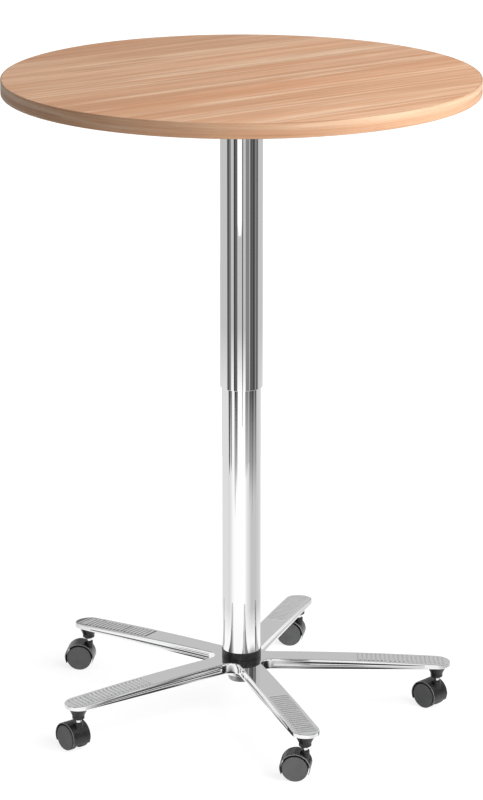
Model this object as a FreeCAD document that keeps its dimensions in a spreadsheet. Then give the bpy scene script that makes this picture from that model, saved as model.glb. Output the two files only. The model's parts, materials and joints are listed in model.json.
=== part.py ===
"""Height-adjustable standing meeting table: a round top on a telescopic gas-spring column,
carried by a die-cast five-star base on swivelling twin-wheel castors.

Millimetres, +Z up. The origin lies on the floor under the column's axis, and arm 1 points along +X.
The table stands at its full height. Every driving dimension is a cell of the sheet "Sizes",
and every sub-part is tied to those cells by expressions.
"""

import FreeCAD, Part
import math
import os
import re
import Sketcher

DOCUMENT = FreeCAD.newDocument("standing_meeting_table")

# ---------------------------------------------------------------- driving dimensions

SIZES = {
    # round top
    "table_height": 1120,
    "top_diameter": 800,
    "top_thickness": 25,
    "band_thickness": 2,
    "band_rounding": 1.5,
    # clearances
    "seat_gap": 0.05,
    "running_gap": 0.05,
    "moving_gap": 0.3,
    # mounting plate and its screws
    "plate_side": 240,
    "plate_thickness": 6,
    "plate_rounding": 18,
    "screw_spacing": 190,
    "screw_shank_radius": 2.2,
    "screw_head_radius": 4.6,
    "screw_head_height": 2.8,
    "screw_length": 20,
    # telescopic tubes
    "lift_travel": 400,
    "upper_tube_radius": 36,
    "upper_tube_wall": 1.5,
    "lower_tube_radius": 33,
    "lower_tube_wall": 2,
    "lower_bush_length": 42,
    "upper_bush_length": 36,
    "bush_inset": 2,
    "bush_spacing": 5,
    "lowered_gap": 3,
    # gas spring
    "cylinder_radius": 14,
    "cylinder_wall": 2,
    "cylinder_length": 572,
    "cylinder_cone_length": 24,
    "cylinder_cone_drop": 0.8,
    "cylinder_head": 12,
    "gland_length": 15,
    "rod_radius": 5,
    "rod_neck_radius": 4,
    "piston_length": 14,
    "piston_reach": 36,
    "pin_radius": 4,
    "pin_stand": 7,
    "pin_depth": 16,
    "spring_seat_radius": 23,
    "spring_seat_foot": 48,
    # stand tube that holds the gas spring in the hub
    "stand_radius": 25,
    "stand_wall": 2,
    "stand_foot_radius": 23,
    "stand_bottom": 54.5,
    "stand_taper_length": 80,
    "stand_floor": 5,
    "stand_recess": 8,
    "stand_rounding": 3,
    "stand_bush_length": 80,
    "stand_bush_flange": 3,
    "stand_top_gap": 5,
    # thrust bearing, buffer and clip at the foot of the rod
    "bearing_radius": 15,
    "bearing_race": 1.5,
    "bearing_cage": 3,
    "buffer_radius": 11,
    "buffer_length": 16,
    "clip_radius": 7.5,
    "clip_thickness": 1.2,
    # release lever under the top
    "lever_zone": 16,
    "lever_pivot": 52,
    "lever_radius": 3.2,
    "lever_inner_reach": 4,
    "lever_pin_gap": 0.6,
    "lever_crank_start": 80,
    "lever_crank_end": 105,
    "lever_drop": 14,
    "lever_reach": 318,
    "grip_length": 90,
    "grip_radius": 7,
    "grip_rounding": 3,
    "lever_rounding": 1.4,
    "lever_boss_wall": 1.6,
    "pivot_pin_radius": 2.5,
    "pivot_pin_overhang": 1,
    "bracket_wall": 3,
    "bracket_length": 22,
    "bracket_width": 20,
    "slot_width": 12,
    # star base
    "arm_count": 5,
    "hub_top": 98,
    "hub_boss_radius": 31,
    "hub_bottom": 68,
    "hub_web_radius": 18,
    "tube_seat_depth": 4,
    "collar_wall": 1,
    "collar_height": 13.5,
    "arm_bottom": 79,
    "arm_root_width": 39,
    "arm_tip_width": 47,
    "crown_radius": 5600,
    "arm_edge_rounding": 1.2,
    "flute_start": 56,
    "flute_end": 318,
    "flute_root_radius": 7.5,
    "flute_tip_radius": 4,
    "flute_root_depth": 2.6,
    "flute_tip_depth": 0.8,
    "casting_wall": 3.6,
    "cell_start": 50,
    "cell_end": 316,
    "cell_count": 4,
    "cell_rib": 3,
    "groove_count": 20,
    "groove_pitch": 7.8,
    "groove_width": 3.4,
    "groove_depth": 0.5,
    "groove_length": 33,
    "groove_last": 351,
    # castors
    "castor_circle_radius": 340.7,
    "socket_bottom": 56,
    "socket_chamfer": 2.5,
    "socket_foot_radius": 6,
    "socket_waist_radius": 10,
    "socket_waist_top": 64,
    "socket_flare_radius": 17.5,
    "socket_spigot_radius": 8,
    "socket_spigot_length": 5,
    "stem_radius": 5,
    "stem_length": 31,
    "spigot_radius": 3.5,
    "spigot_length": 20,
    "boss_radius": 7.5,
    "boss_top": 51,
    "castor_trail": 15.5,
    "wheel_radius": 22.5,
    "wheel_chamfer": 1.2,
    "wheel_face": 2.5,
    "hood_radius": 26.2,
    "hood_wall": 2,
    "hood_width": 36,
    "hood_dip": 25,
    "web_thickness": 10,
    "web_gap": 1,
    "axle_radius": 2.5,
    "axle_boss_radius": 7,
    # where each castor's trail points: it turns freely, so this is only how it stands
    "castor_heading_1": 137,
    "castor_heading_2": 170,
    "castor_heading_3": 174,
    "castor_heading_4": 130,
    "castor_heading_5": 173,
    # lengths that follow from others: the upper tube covers the travel and both bushes
    "tube_overlap": "=bush_inset + lower_bush_length + bush_spacing + upper_bush_length",
    "upper_tube_length": "=lever_zone + lift_travel + lowered_gap + tube_overlap",
}

HEADING_COUNT = sum(name.startswith("castor_heading") for name in SIZES)

# How close two lengths, or a direction and an axis, count as the same.
NEAR = 0.01

# Places that follow from the driving dimensions, as expressions.
PLACES = {
    "top_radius": "top_diameter / 2",
    "core_radius": "top_radius - band_thickness",
    "underside": "table_height - top_thickness",
    "plate_bottom": "underside - plate_thickness",
    "upper_tube_bottom": "plate_bottom - upper_tube_length",
    "upper_tube_bore": "upper_tube_radius - upper_tube_wall",
    "lower_tube_bore": "lower_tube_radius - lower_tube_wall",
    "lower_tube_bottom": "hub_top - tube_seat_depth",
    "lower_tube_top": "plate_bottom - lever_zone - lift_travel - lowered_gap",
    "lower_bush_bottom": "upper_tube_bottom + bush_inset",
    "upper_bush_bottom": "lower_tube_top - upper_bush_length",
    "collar_bore": "lower_tube_radius + seat_gap",
    "pin_top": "lever_axis - lever_radius - lever_pin_gap",
    "lever_axis": "plate_bottom - lever_zone / 2",
    "cylinder_top": "pin_top - pin_stand",
    "cylinder_bottom": "cylinder_top - cylinder_length",
    "cylinder_bore": "cylinder_radius - cylinder_wall",
    "spring_seat_bottom": "plate_bottom - spring_seat_foot",
    "stand_top": "spring_seat_bottom - lift_travel - stand_top_gap",
    "stand_bore": "stand_radius - stand_wall",
    "stand_taper_top": "stand_bottom + stand_taper_length",
    "bearing_bottom": "stand_bottom + stand_recess + stand_floor",
    "bearing_top": "bearing_bottom + 2 * bearing_race + bearing_cage",
    "rod_top": "cylinder_bottom + piston_reach",
    "wheel_inner": "web_thickness / 2 + web_gap",
    "wheel_outer": "hood_width / 2 + moving_gap",
    "hood_bore": "hood_radius - hood_wall",
    "spigot_top": "boss_top + moving_gap",
    "spigot_bottom": "spigot_top - spigot_length",
    "stem_top": "spigot_top + stem_length",
    "socket_top": "arm_bottom + socket_spigot_length",
    "crown_drop": "hub_top - crown_radius",
    "web_centre": "(arm_root_width / 2 + hub_web_radius) / sin(180 deg / arm_count)",
    "web_reach": "(arm_root_width / 2 + hub_web_radius) / tan(180 deg / arm_count)",
    "cell_pitch": "(cell_end - cell_start + cell_rib) / cell_count",
}


def fill_sheet():
    """Write the driving dimensions into the sheet, one aliased cell each."""
    sheet = DOCUMENT.addObject("Spreadsheet::Sheet", "Sizes")
    for row, (name, value) in enumerate(SIZES.items(), start=1):
        sheet.set(f"A{row}", name)
        sheet.set(f"B{row}", str(value))
        sheet.setAlias(f"B{row}", name)
    DOCUMENT.recompute()
    return sheet


SHEET = fill_sheet()
PLACE_WORDS = re.compile(r"\b(" + "|".join(PLACES) + r")\b")
SIZE_WORDS = re.compile(r"\b(" + "|".join(SIZES) + r")\b")


def tied(text):
    """The expression for a size or place written in plain names."""
    while PLACE_WORDS.search(text):
        text = PLACE_WORDS.sub(lambda word: "(" + PLACES[word.group(0)] + ")", text)
    return SIZE_WORDS.sub(r"Sizes.\1", text)


def number(text):
    """The present value of a size or place written in plain names."""
    return float(SHEET.evalExpression(tied(str(text))))


def bind(item, settings):
    """Tie properties of an object to the sheet."""
    for path, text in settings.items():
        item.setExpression(path, tied(text))


# ---------------------------------------------------------------- sketches and features

def new_body(label):
    """A PartDesign body whose label names the sub-part."""
    body = DOCUMENT.addObject("PartDesign::Body", label)
    body.Label = label
    return body


def new_sketch(body, name, plane, offsets=None):
    """A sketch on one of the body's origin planes, with its offset tied to the sheet."""
    sketch = body.newObject("Sketcher::SketchObject", name)
    support = [item for item in body.Origin.OriginFeatures if item.Role == plane][0]
    sketch.AttachmentSupport = (support, [""])
    sketch.MapMode = "FlatFace"
    for axis, text in (offsets or {}).items():
        bind(sketch, {f"AttachmentOffset.Base.{axis}": text})
    return sketch


def place_point(sketch, element, corner, across, up):
    """Hold one point of a sketch at a place given by two expressions."""
    for kind, text, axis in (("DistanceX", across, -2), ("DistanceY", up, -1)):
        value = number(text)
        if value == 0:
            sketch.addConstraint(Sketcher.Constraint("PointOnObject", element, corner, axis))
        elif value > 0:
            index = sketch.addConstraint(Sketcher.Constraint(kind, -1, 1, element, corner, value))
            sketch.setExpression(f"Constraints[{index}]", tied(text))
        else:
            index = sketch.addConstraint(Sketcher.Constraint(kind, element, corner, -1, 1, -value))
            sketch.setExpression(f"Constraints[{index}]", tied(f"-({text})"))


def draw_outline(sketch, corners):
    """Draw a closed outline of straight runs through corners given as expressions."""
    first = sketch.GeometryCount
    spots = [FreeCAD.Vector(number(across), number(up), 0) for across, up in corners]
    for start, end in zip(spots, spots[1:] + spots[:1]):
        sketch.addGeometry(Part.LineSegment(start, end), False)
    count = len(corners)
    for step in range(count):
        following = first + (step + 1) % count
        sketch.addConstraint(Sketcher.Constraint("Coincident", first + step, 2, following, 1))
    for step, (across, up) in enumerate(corners):
        place_point(sketch, first + step, 1, across, up)


def draw_circle(sketch, across, up, radius):
    """Draw a circle whose centre and radius are given as expressions."""
    centre = FreeCAD.Vector(number(across), number(up), 0)
    normal = FreeCAD.Vector(0, 0, 1)
    element = sketch.addGeometry(Part.Circle(centre, normal, number(radius)), False)
    place_point(sketch, element, 3, across, up)
    index = sketch.addConstraint(Sketcher.Constraint("Radius", element, number(radius)))
    sketch.setExpression(f"Constraints[{index}]", tied(radius))


def add_pad(body, sketch, length, midplane=False, reverse=False):
    """Raise a sketch."""
    pad = body.newObject("PartDesign::Pad", f"{sketch.Name}_pad")
    pad.Profile = sketch
    bind(pad, {"Length": length})
    pad.Midplane = midplane
    pad.Reversed = reverse
    return pad


def add_pocket(body, sketch, length, midplane=False, reverse=False):
    """Sink a sketch."""
    pocket = body.newObject("PartDesign::Pocket", f"{sketch.Name}_pocket")
    pocket.Profile = sketch
    bind(pocket, {"Length": length})
    pocket.Midplane = midplane
    pocket.Reversed = reverse
    return pocket


def turned(label, profile, body=None, plane="XZ_Plane"):
    """A turned piece: a closed profile of (radius, height) corners swept round its plane's second axis."""
    body = body or new_body(label)
    sketch = new_sketch(body, f"{label}_profile", plane)
    draw_outline(sketch, profile)
    turn = body.newObject("PartDesign::Revolution", f"{label}_turn")
    turn.Profile = sketch
    turn.ReferenceAxis = (sketch, ["V_Axis"])
    turn.Angle = 360
    return body


def ring_profile(inner, outer, bottom, top):
    """The profile of a plain ring or sleeve."""
    return [(inner, bottom), (outer, bottom), (outer, top), (inner, top)]


def edges_where(body, test):
    """The names of the body's present edges that pass a test."""
    DOCUMENT.recompute()
    return [f"Edge{index}" for index, edge in enumerate(body.Shape.Edges, start=1) if test(edge)]


def round_edges(body, radius, test):
    """Fillet the edges of the body that pass a test."""
    base = body.Tip
    names = edges_where(body, test)
    fillet = body.newObject("PartDesign::Fillet", f"{body.Name}_fillet_{len(body.Group)}")
    fillet.Base = (base, names)
    bind(fillet, {"Radius": radius})
    return fillet


def is_circle_at(edge, radius, height):
    """Whether an edge is a level circle of this radius at this height."""
    curve = edge.Curve
    if not isinstance(curve, Part.Circle):
        return False
    level = abs(curve.Center.z - number(height)) < NEAR
    return level and abs(curve.Radius - number(radius)) < NEAR


# ---------------------------------------------------------------- round top and its plate

def screw_places():
    """The screws' places: the corners of a square and the middles of its sides."""
    half = "screw_spacing / 2"
    steps = (f"-{half}", "0", half)
    return [(across, up) for across in steps for up in steps if (across, up) != ("0", "0")]


def make_tabletop():
    """The board, with a pilot hole for each screw of the mounting plate."""
    body = turned("tabletop", [
        ("0", "underside"), ("core_radius", "underside"),
        ("core_radius", "table_height"), ("0", "table_height")])
    pilots = new_sketch(body, "pilot_holes", "XY_Plane", {"z": "underside"})
    for across, up in screw_places():
        draw_circle(pilots, across, up, "screw_shank_radius + seat_gap")
    add_pocket(body, pilots, "screw_length - plate_thickness + moving_gap", reverse=True)


def make_edge_band():
    """The edging strip round the board."""
    body = turned("edge_band", ring_profile(
        "core_radius + seat_gap", "top_radius", "underside", "table_height"))
    round_edges(body, "band_rounding", lambda edge: is_circle_at(edge, "top_radius", "table_height")
                or is_circle_at(edge, "top_radius", "underside"))


def make_mounting_plate():
    """The steel plate under the board, with countersunk holes."""
    body = new_body("mounting_plate")
    blank = new_sketch(body, "plate_blank", "XY_Plane", {"z": "plate_bottom"})
    half = "plate_side / 2"
    draw_outline(blank, [(f"-{half}", f"-{half}"), (half, f"-{half}"), (half, half), (f"-{half}", half)])
    add_pad(body, blank, "plate_thickness")
    round_edges(body, "plate_rounding",
                lambda edge: abs(edge.tangentAt(edge.FirstParameter).z) > 1 - NEAR)
    holes = new_sketch(body, "plate_holes", "XY_Plane", {"z": "plate_bottom"})
    for across, up in screw_places():
        draw_circle(holes, across, up, "screw_head_radius + seat_gap")
    add_pocket(body, holes, "screw_head_height + seat_gap", reverse=True)
    shanks = new_sketch(body, "plate_shank_holes", "XY_Plane", {"z": "plate_bottom"})
    for across, up in screw_places():
        draw_circle(shanks, across, up, "screw_shank_radius + seat_gap")
    add_pocket(body, shanks, "plate_thickness + moving_gap", reverse=True)


def make_plate_screws():
    """The flush screws that hold the plate to the board, one solid each."""
    screws = []
    for index, (across, up) in enumerate(screw_places(), start=1):
        head = DOCUMENT.addObject("Part::Cylinder", f"screw_head_{index}")
        bind(head, {"Radius": "screw_head_radius", "Height": "screw_head_height",
                    "Placement.Base.x": across, "Placement.Base.y": up, "Placement.Base.z": "plate_bottom"})
        shank = DOCUMENT.addObject("Part::Cylinder", f"screw_shank_{index}")
        bind(shank, {"Radius": "screw_shank_radius", "Height": "screw_length",
                     "Placement.Base.x": across, "Placement.Base.y": up, "Placement.Base.z": "plate_bottom"})
        screw = DOCUMENT.addObject("Part::Fuse", f"screw_{index}")
        screw.Base = head
        screw.Tool = shank
        screws.append(screw)
    group = DOCUMENT.addObject("Part::Compound", "plate_screws")
    group.Label = "plate_screws"
    group.Links = screws


# ---------------------------------------------------------------- telescopic column

def make_upper_tube():
    """The outer chrome tube, welded to the plate, with the lever's slot at its head."""
    body = turned("upper_tube", ring_profile(
        "upper_tube_bore", "upper_tube_radius", "upper_tube_bottom", "plate_bottom"))
    cut_lever_slot(body, "upper_tube_slot", "spring_seat_radius", "upper_tube_radius + upper_tube_wall")


def cut_lever_slot(body, name, inner, outer):
    """Cut the slot that the release lever passes through and swings in."""
    sketch = new_sketch(body, name, "XY_Plane", {"z": "plate_bottom - lever_zone"})
    half = "slot_width / 2"
    draw_outline(sketch, [(inner, f"-{half}"), (outer, f"-{half}"), (outer, half), (inner, half)])
    add_pocket(body, sketch, "lever_zone", reverse=True)


def make_guide_bushes():
    """The two plastic sleeves between the tubes, one fixed to each."""
    turned("lower_guide_bush", ring_profile(
        "lower_tube_radius + running_gap", "upper_tube_bore - seat_gap",
        "lower_bush_bottom", "lower_bush_bottom + lower_bush_length"))
    turned("upper_guide_bush", ring_profile(
        "lower_tube_radius + seat_gap", "upper_tube_bore - running_gap",
        "upper_bush_bottom", "lower_tube_top"))


def make_lower_tube():
    """The inner chrome tube, seated in the hub's counterbore."""
    turned("lower_tube", ring_profile(
        "lower_tube_bore", "lower_tube_radius", "lower_tube_bottom", "lower_tube_top"))


def make_base_collar():
    """The black ring that covers the joint of the lower tube and the hub."""
    body = turned("base_collar", ring_profile(
        "collar_bore", "collar_bore + collar_wall", "hub_top", "hub_top + collar_height"))
    round_edges(body, "collar_wall / 2",
                lambda edge: is_circle_at(edge, "collar_bore + collar_wall", "hub_top + collar_height"))


def make_spring_seat():
    """The sleeve under the plate that takes the gas spring's cone and opens for the lever."""
    body = turned("spring_seat", [
        ("cylinder_radius + seat_gap", "spring_seat_bottom"),
        ("spring_seat_radius", "spring_seat_bottom"),
        ("spring_seat_radius", "plate_bottom"),
        ("cylinder_radius + seat_gap", "plate_bottom"),
        ("cylinder_radius + seat_gap", "cylinder_top"),
        ("cylinder_radius - cylinder_cone_drop + seat_gap", "cylinder_top"),
        ("cylinder_radius + seat_gap", "cylinder_top - cylinder_cone_length")])
    cut_lever_slot(body, "spring_seat_slot", "0", "spring_seat_radius + upper_tube_wall")


def make_gas_spring():
    """The gas spring, hung rod down: cylinder, gland, release pin, piston and rod."""
    turned("gas_cylinder", [
        ("cylinder_bore", "cylinder_bottom"),
        ("cylinder_radius", "cylinder_bottom"),
        ("cylinder_radius", "cylinder_top - cylinder_cone_length"),
        ("cylinder_radius - cylinder_cone_drop", "cylinder_top"),
        ("pin_radius + running_gap", "cylinder_top"),
        ("pin_radius + running_gap", "cylinder_top - cylinder_head"),
        ("cylinder_bore", "cylinder_top - cylinder_head")])
    turned("cylinder_gland", ring_profile(
        "rod_radius + running_gap", "cylinder_bore - seat_gap",
        "cylinder_bottom", "cylinder_bottom + gland_length"))
    turned("release_pin", [
        ("0", "cylinder_top - pin_depth"), ("pin_radius", "cylinder_top - pin_depth"),
        ("pin_radius", "pin_top"), ("0", "pin_top")])
    turned("piston", ring_profile(
        "rod_neck_radius + seat_gap", "cylinder_bore - running_gap",
        "rod_top - piston_length", "rod_top"))
    turned("piston_rod", [
        ("0", "stand_bottom + clip_thickness"),
        ("rod_neck_radius", "stand_bottom + clip_thickness"),
        ("rod_neck_radius", "bearing_top"),
        ("rod_radius", "bearing_top"),
        ("rod_radius", "rod_top - piston_length"),
        ("rod_neck_radius", "rod_top - piston_length"),
        ("rod_neck_radius", "rod_top"),
        ("0", "rod_top")])


def make_stand_tube():
    """The tapered tube that wedges in the hub and holds the gas spring upright."""
    body = turned("stand_tube", [
        ("clip_radius + bearing_race", "stand_bottom"),
        ("stand_foot_radius", "stand_bottom"),
        ("stand_radius", "stand_taper_top"),
        ("stand_radius", "stand_top"),
        ("stand_bore", "stand_top"),
        ("stand_bore", "stand_taper_top"),
        ("stand_foot_radius - stand_wall", "bearing_bottom"),
        ("rod_neck_radius + running_gap", "bearing_bottom"),
        ("rod_neck_radius + running_gap", "bearing_bottom - stand_floor"),
        ("clip_radius + bearing_race", "bearing_bottom - stand_floor")])
    round_edges(body, "stand_rounding",
                lambda edge: is_circle_at(edge, "stand_foot_radius", "stand_bottom"))
    turned("stand_bush", [
        ("cylinder_radius + running_gap", "stand_top - stand_bush_length"),
        ("stand_bore - seat_gap", "stand_top - stand_bush_length"),
        ("stand_bore - seat_gap", "stand_top + seat_gap"),
        ("stand_radius", "stand_top + seat_gap"),
        ("stand_radius", "stand_top + stand_bush_flange"),
        ("cylinder_radius + running_gap", "stand_top + stand_bush_flange")])


def make_rod_foot():
    """The thrust bearing, the rubber buffer and the clip on the rod's lower end."""
    inner = "rod_neck_radius + running_gap"
    rings = []
    levels = [("lower_race", "bearing_bottom", "bearing_race", "0"),
              ("ball_cage", "bearing_bottom + bearing_race", "bearing_cage", "bearing_race"),
              ("upper_race", "bearing_bottom + bearing_race + bearing_cage", "bearing_race", "0")]
    for name, bottom, height, inset in levels:
        outside = DOCUMENT.addObject("Part::Cylinder", f"{name}_outside")
        bind(outside, {"Radius": f"bearing_radius - {inset}", "Height": height, "Placement.Base.z": bottom})
        inside = DOCUMENT.addObject("Part::Cylinder", f"{name}_inside")
        bind(inside, {"Radius": f"{inner} + {inset}", "Height": height, "Placement.Base.z": bottom})
        ring = DOCUMENT.addObject("Part::Cut", name)
        ring.Base = outside
        ring.Tool = inside
        rings.append(ring)
    bearing = DOCUMENT.addObject("Part::Compound", "thrust_bearing")
    bearing.Label = "thrust_bearing"
    bearing.Links = rings
    turned("rubber_buffer", ring_profile(
        "rod_radius + seat_gap", "buffer_radius", "bearing_top", "bearing_top + buffer_length"))
    clip_top = "bearing_bottom - stand_floor - seat_gap"
    turned("retaining_clip", ring_profile(
        inner, "clip_radius", f"{clip_top} - clip_thickness", clip_top))


# ---------------------------------------------------------------- release lever

def make_lever_bracket():
    """The folded bracket under the plate that carries the lever's pivot pin."""
    body = new_body("lever_bracket")
    ear_height = "lever_zone / 2 + pivot_pin_radius + bracket_wall"
    blank = new_sketch(body, "bracket_blank", "XY_Plane", {"z": f"plate_bottom - ({ear_height})"})
    start = "lever_pivot - bracket_length / 2"
    end = "lever_pivot + bracket_length / 2"
    for side in ("-", ""):
        outer = f"{side}bracket_width / 2"
        inner = f"{side}(bracket_width / 2 - bracket_wall)"
        draw_outline(blank, [(start, inner), (end, inner), (end, outer), (start, outer)])
    add_pad(body, blank, ear_height)
    crown = new_sketch(body, "bracket_crown", "XY_Plane", {"z": "plate_bottom"})
    half = "bracket_width / 2"
    draw_outline(crown, [(start, f"-{half}"), (end, f"-{half}"), (end, half), (start, half)])
    add_pad(body, crown, "bracket_wall", reverse=True)
    hole = new_sketch(body, "bracket_hole", "XZ_Plane")
    draw_circle(hole, "lever_pivot", "lever_axis", "pivot_pin_radius + seat_gap")
    add_pocket(body, hole, "2 * bracket_width", midplane=True)


def make_lever_pin():
    """The pivot pin, across the bracket."""
    body = new_body("lever_pin")
    sketch = new_sketch(body, "lever_pin_section", "XZ_Plane")
    draw_circle(sketch, "lever_pivot", "lever_axis", "pivot_pin_radius")
    add_pad(body, sketch, "bracket_width + 2 * pivot_pin_overhang", midplane=True)


def make_lever_arm():
    """The cranked lever: a flat inner blade on the pivot and a round rod out to the grip."""
    body = new_body("lever_arm")
    blade = new_sketch(body, "lever_blade", "XZ_Plane")
    low = "lever_axis - lever_radius"
    high = "lever_axis + lever_radius"
    drop = "lever_drop"
    draw_outline(blade, [
        ("-lever_inner_reach", low), ("lever_crank_start", low),
        ("lever_crank_end", f"{low} - {drop}"), ("lever_reach", f"{low} - {drop}"),
        ("lever_reach", f"{high} - {drop}"), ("lever_crank_end", f"{high} - {drop}"),
        ("lever_crank_start", high), ("-lever_inner_reach", high)])
    add_pad(body, blade, "2 * lever_radius", midplane=True)
    pivot_boss = new_sketch(body, "lever_boss", "XZ_Plane")
    draw_circle(pivot_boss, "lever_pivot", "lever_axis", "pivot_pin_radius + lever_boss_wall")
    add_pad(body, pivot_boss, "bracket_width - 2 * bracket_wall - 2 * moving_gap", midplane=True)
    round_edges(body, "lever_rounding",
                lambda edge: isinstance(edge.Curve, Part.Line) and edge.Length > number("bracket_width")
                and abs(edge.tangentAt(edge.FirstParameter).y) < NEAR)
    bore = new_sketch(body, "lever_bore", "XZ_Plane")
    draw_circle(bore, "lever_pivot", "lever_axis", "pivot_pin_radius + running_gap")
    add_pocket(body, bore, "bracket_width", midplane=True)


def make_lever_grip():
    """The plastic grip on the lever's outer end."""
    body = new_body("lever_grip")
    height = "lever_axis - lever_drop"
    sketch = new_sketch(body, "grip_section", "YZ_Plane", {"z": "lever_reach - grip_length + grip_rounding"})
    draw_circle(sketch, "0", height, "grip_radius")
    add_pad(body, sketch, "grip_length")
    round_edges(body, "grip_rounding", lambda edge: isinstance(edge.Curve, Part.Circle))
    socket = new_sketch(body, "grip_socket", "YZ_Plane", {"z": "lever_reach - grip_length"})
    side = "lever_radius + seat_gap"
    draw_outline(socket, [(f"-({side})", f"{height} - ({side})"), (side, f"{height} - ({side})"),
                          (side, f"{height} + {side}"), (f"-({side})", f"{height} + {side}")])
    add_pocket(body, socket, "grip_length + seat_gap", reverse=True)


# ---------------------------------------------------------------- star base

def half_width(radius):
    """Half the arm's width at a distance from the column's axis."""
    share = f"((({radius}) - web_reach) / (castor_circle_radius - web_reach))"
    return f"((arm_root_width + (arm_tip_width - arm_root_width) * {share}) / 2)"


def crown_height(radius):
    """The height of the base's crowned top face at a distance from the column's axis."""
    return f"(sqrt(crown_radius ^ 2 - ({radius}) ^ 2) + crown_drop)"


def raise_blank(body):
    """Turn the disc that the star is cut from: a level underside and a shallow crown."""
    sketch = new_sketch(body, "blank_side", "XZ_Plane")
    rim = "castor_circle_radius + arm_tip_width"
    low_start = FreeCAD.Vector(0, number("arm_bottom"), 0)
    low_end = FreeCAD.Vector(number(rim), number("arm_bottom"), 0)
    high_end = FreeCAD.Vector(number(rim), number(crown_height(rim)), 0)
    high_start = FreeCAD.Vector(0, number("hub_top"), 0)
    centre = FreeCAD.Vector(0, number("crown_drop"), 0)
    middle = centre + (high_start + high_end - centre * 2).normalize() * number("crown_radius")
    sketch.addGeometry(Part.LineSegment(low_start, low_end), False)
    sketch.addGeometry(Part.LineSegment(low_end, high_end), False)
    sketch.addGeometry(Part.Arc(high_end, middle, high_start), False)
    sketch.addGeometry(Part.LineSegment(high_start, low_start), False)
    for step in range(4):
        sketch.addConstraint(Sketcher.Constraint("Coincident", step, 2, (step + 1) % 4, 1))
    place_point(sketch, 0, 1, "0", "arm_bottom")
    place_point(sketch, 0, 2, rim, "arm_bottom")
    place_point(sketch, 3, 1, "0", "hub_top")
    sketch.addConstraint(Sketcher.Constraint("Vertical", 1))
    sketch.addConstraint(Sketcher.Constraint("PointOnObject", 2, 3, -2))
    index = sketch.addConstraint(Sketcher.Constraint("Radius", 2, number("crown_radius")))
    sketch.setExpression(f"Constraints[{index}]", tied("crown_radius"))
    turn = body.newObject("PartDesign::Revolution", "blank_turn")
    turn.Profile = sketch
    turn.ReferenceAxis = (sketch, ["V_Axis"])
    turn.Angle = 360


def polar(distance, angle):
    """The expressions of a point at a distance and an angle in degrees from the column's axis."""
    return f"({distance}) * cos(({angle}) * 1 deg)", f"({distance}) * sin(({angle}) * 1 deg)"


def add_arc(sketch, centre, radius, begin, end):
    """Draw an anticlockwise arc between two angles in degrees, its centre and radius tied to the sheet."""
    spot = FreeCAD.Vector(number(centre[0]), number(centre[1]), 0)
    circle = Part.Circle(spot, FreeCAD.Vector(0, 0, 1), number(radius))
    arc = Part.ArcOfCircle(circle, math.radians(begin), math.radians(end))
    element = sketch.addGeometry(arc, False)
    place_point(sketch, element, 3, *centre)
    index = sketch.addConstraint(Sketcher.Constraint("Radius", element, number(radius)))
    sketch.setExpression(f"Constraints[{index}]", tied(radius))
    return element


def cut_star_plan(body):
    """Cut the star's plan: round tips, straight flanks, and webs that sweep from arm to arm."""
    sketch = new_sketch(body, "star_plan", "XY_Plane", {"z": "arm_bottom"})
    draw_circle(sketch, "0", "0", "castor_circle_radius + 2 * arm_tip_width")
    count = int(number("arm_count"))
    share = 360 / count
    tips = []
    webs = []
    for index in range(count):
        aim = f"({index} * 360 / arm_count)"
        valley = f"({aim} + 180 / arm_count)"
        angle = index * share
        tips.append(add_arc(sketch, polar("castor_circle_radius", aim), "arm_tip_width / 2",
                            angle - 90, angle + 90))
        webs.append(add_arc(sketch, polar("web_centre", valley), "hub_web_radius",
                            angle + 90 + share, angle + 270))
    for index in range(count):
        tip = sketch.Geometry[tips[index]]
        ahead = sketch.Geometry[webs[index]]
        behind = sketch.Geometry[webs[index - 1]]
        left = sketch.addGeometry(Part.LineSegment(ahead.EndPoint, tip.EndPoint), False)
        right = sketch.addGeometry(Part.LineSegment(behind.StartPoint, tip.StartPoint), False)
        sketch.addConstraint(Sketcher.Constraint("Tangent", left, 1, webs[index], 2))
        sketch.addConstraint(Sketcher.Constraint("Tangent", left, 2, tips[index], 2))
        sketch.addConstraint(Sketcher.Constraint("Tangent", right, 1, webs[index - 1], 1))
        sketch.addConstraint(Sketcher.Constraint("Tangent", right, 2, tips[index], 1))
    add_pocket(body, sketch, "2 * (hub_top - arm_bottom)", reverse=True)


def cut_loft(body, name, draw_start, draw_end, start, end):
    """Cut a tapered hollow between two sketches across the arm."""
    first = new_sketch(body, f"{name}_start", "YZ_Plane", {"z": start})
    draw_start(first)
    last = new_sketch(body, f"{name}_end", "YZ_Plane", {"z": end})
    draw_end(last)
    loft = body.newObject("PartDesign::SubtractiveLoft", name)
    loft.Profile = first
    loft.Sections = [(last, [""])]
    loft.Ruled = True
    return loft


def flute_section(side, place, radius, depth):
    """A drawing function for the flute's round section beside one flank."""
    across = f"{side}({half_width(place)} + {radius} - {depth})"
    level = f"(({crown_height(place)} + arm_bottom) / 2)"
    return lambda sketch: draw_circle(sketch, across, level, radius)


def cut_flutes(body):
    """Cut the long concave flute in both flanks; it runs out as the arm thins."""
    return [cut_loft(body, name,
                     flute_section(side, "flute_start", "flute_root_radius", "flute_root_depth"),
                     flute_section(side, "flute_end", "flute_tip_radius", "flute_tip_depth"),
                     "flute_start", "flute_end")
            for side, name in (("", "left_flute"), ("-", "right_flute"))]


def cell_section(place):
    """A drawing function for a cell's section under the arm, open downwards."""
    side = f"({half_width(place)} - casting_wall - flute_root_depth)"
    roof = f"({crown_height(place)} - casting_wall)"
    floor = "(arm_bottom - casting_wall)"
    return lambda sketch: draw_outline(
        sketch, [(f"-{side}", floor), (side, floor), (side, roof), (f"-{side}", roof)])


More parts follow.
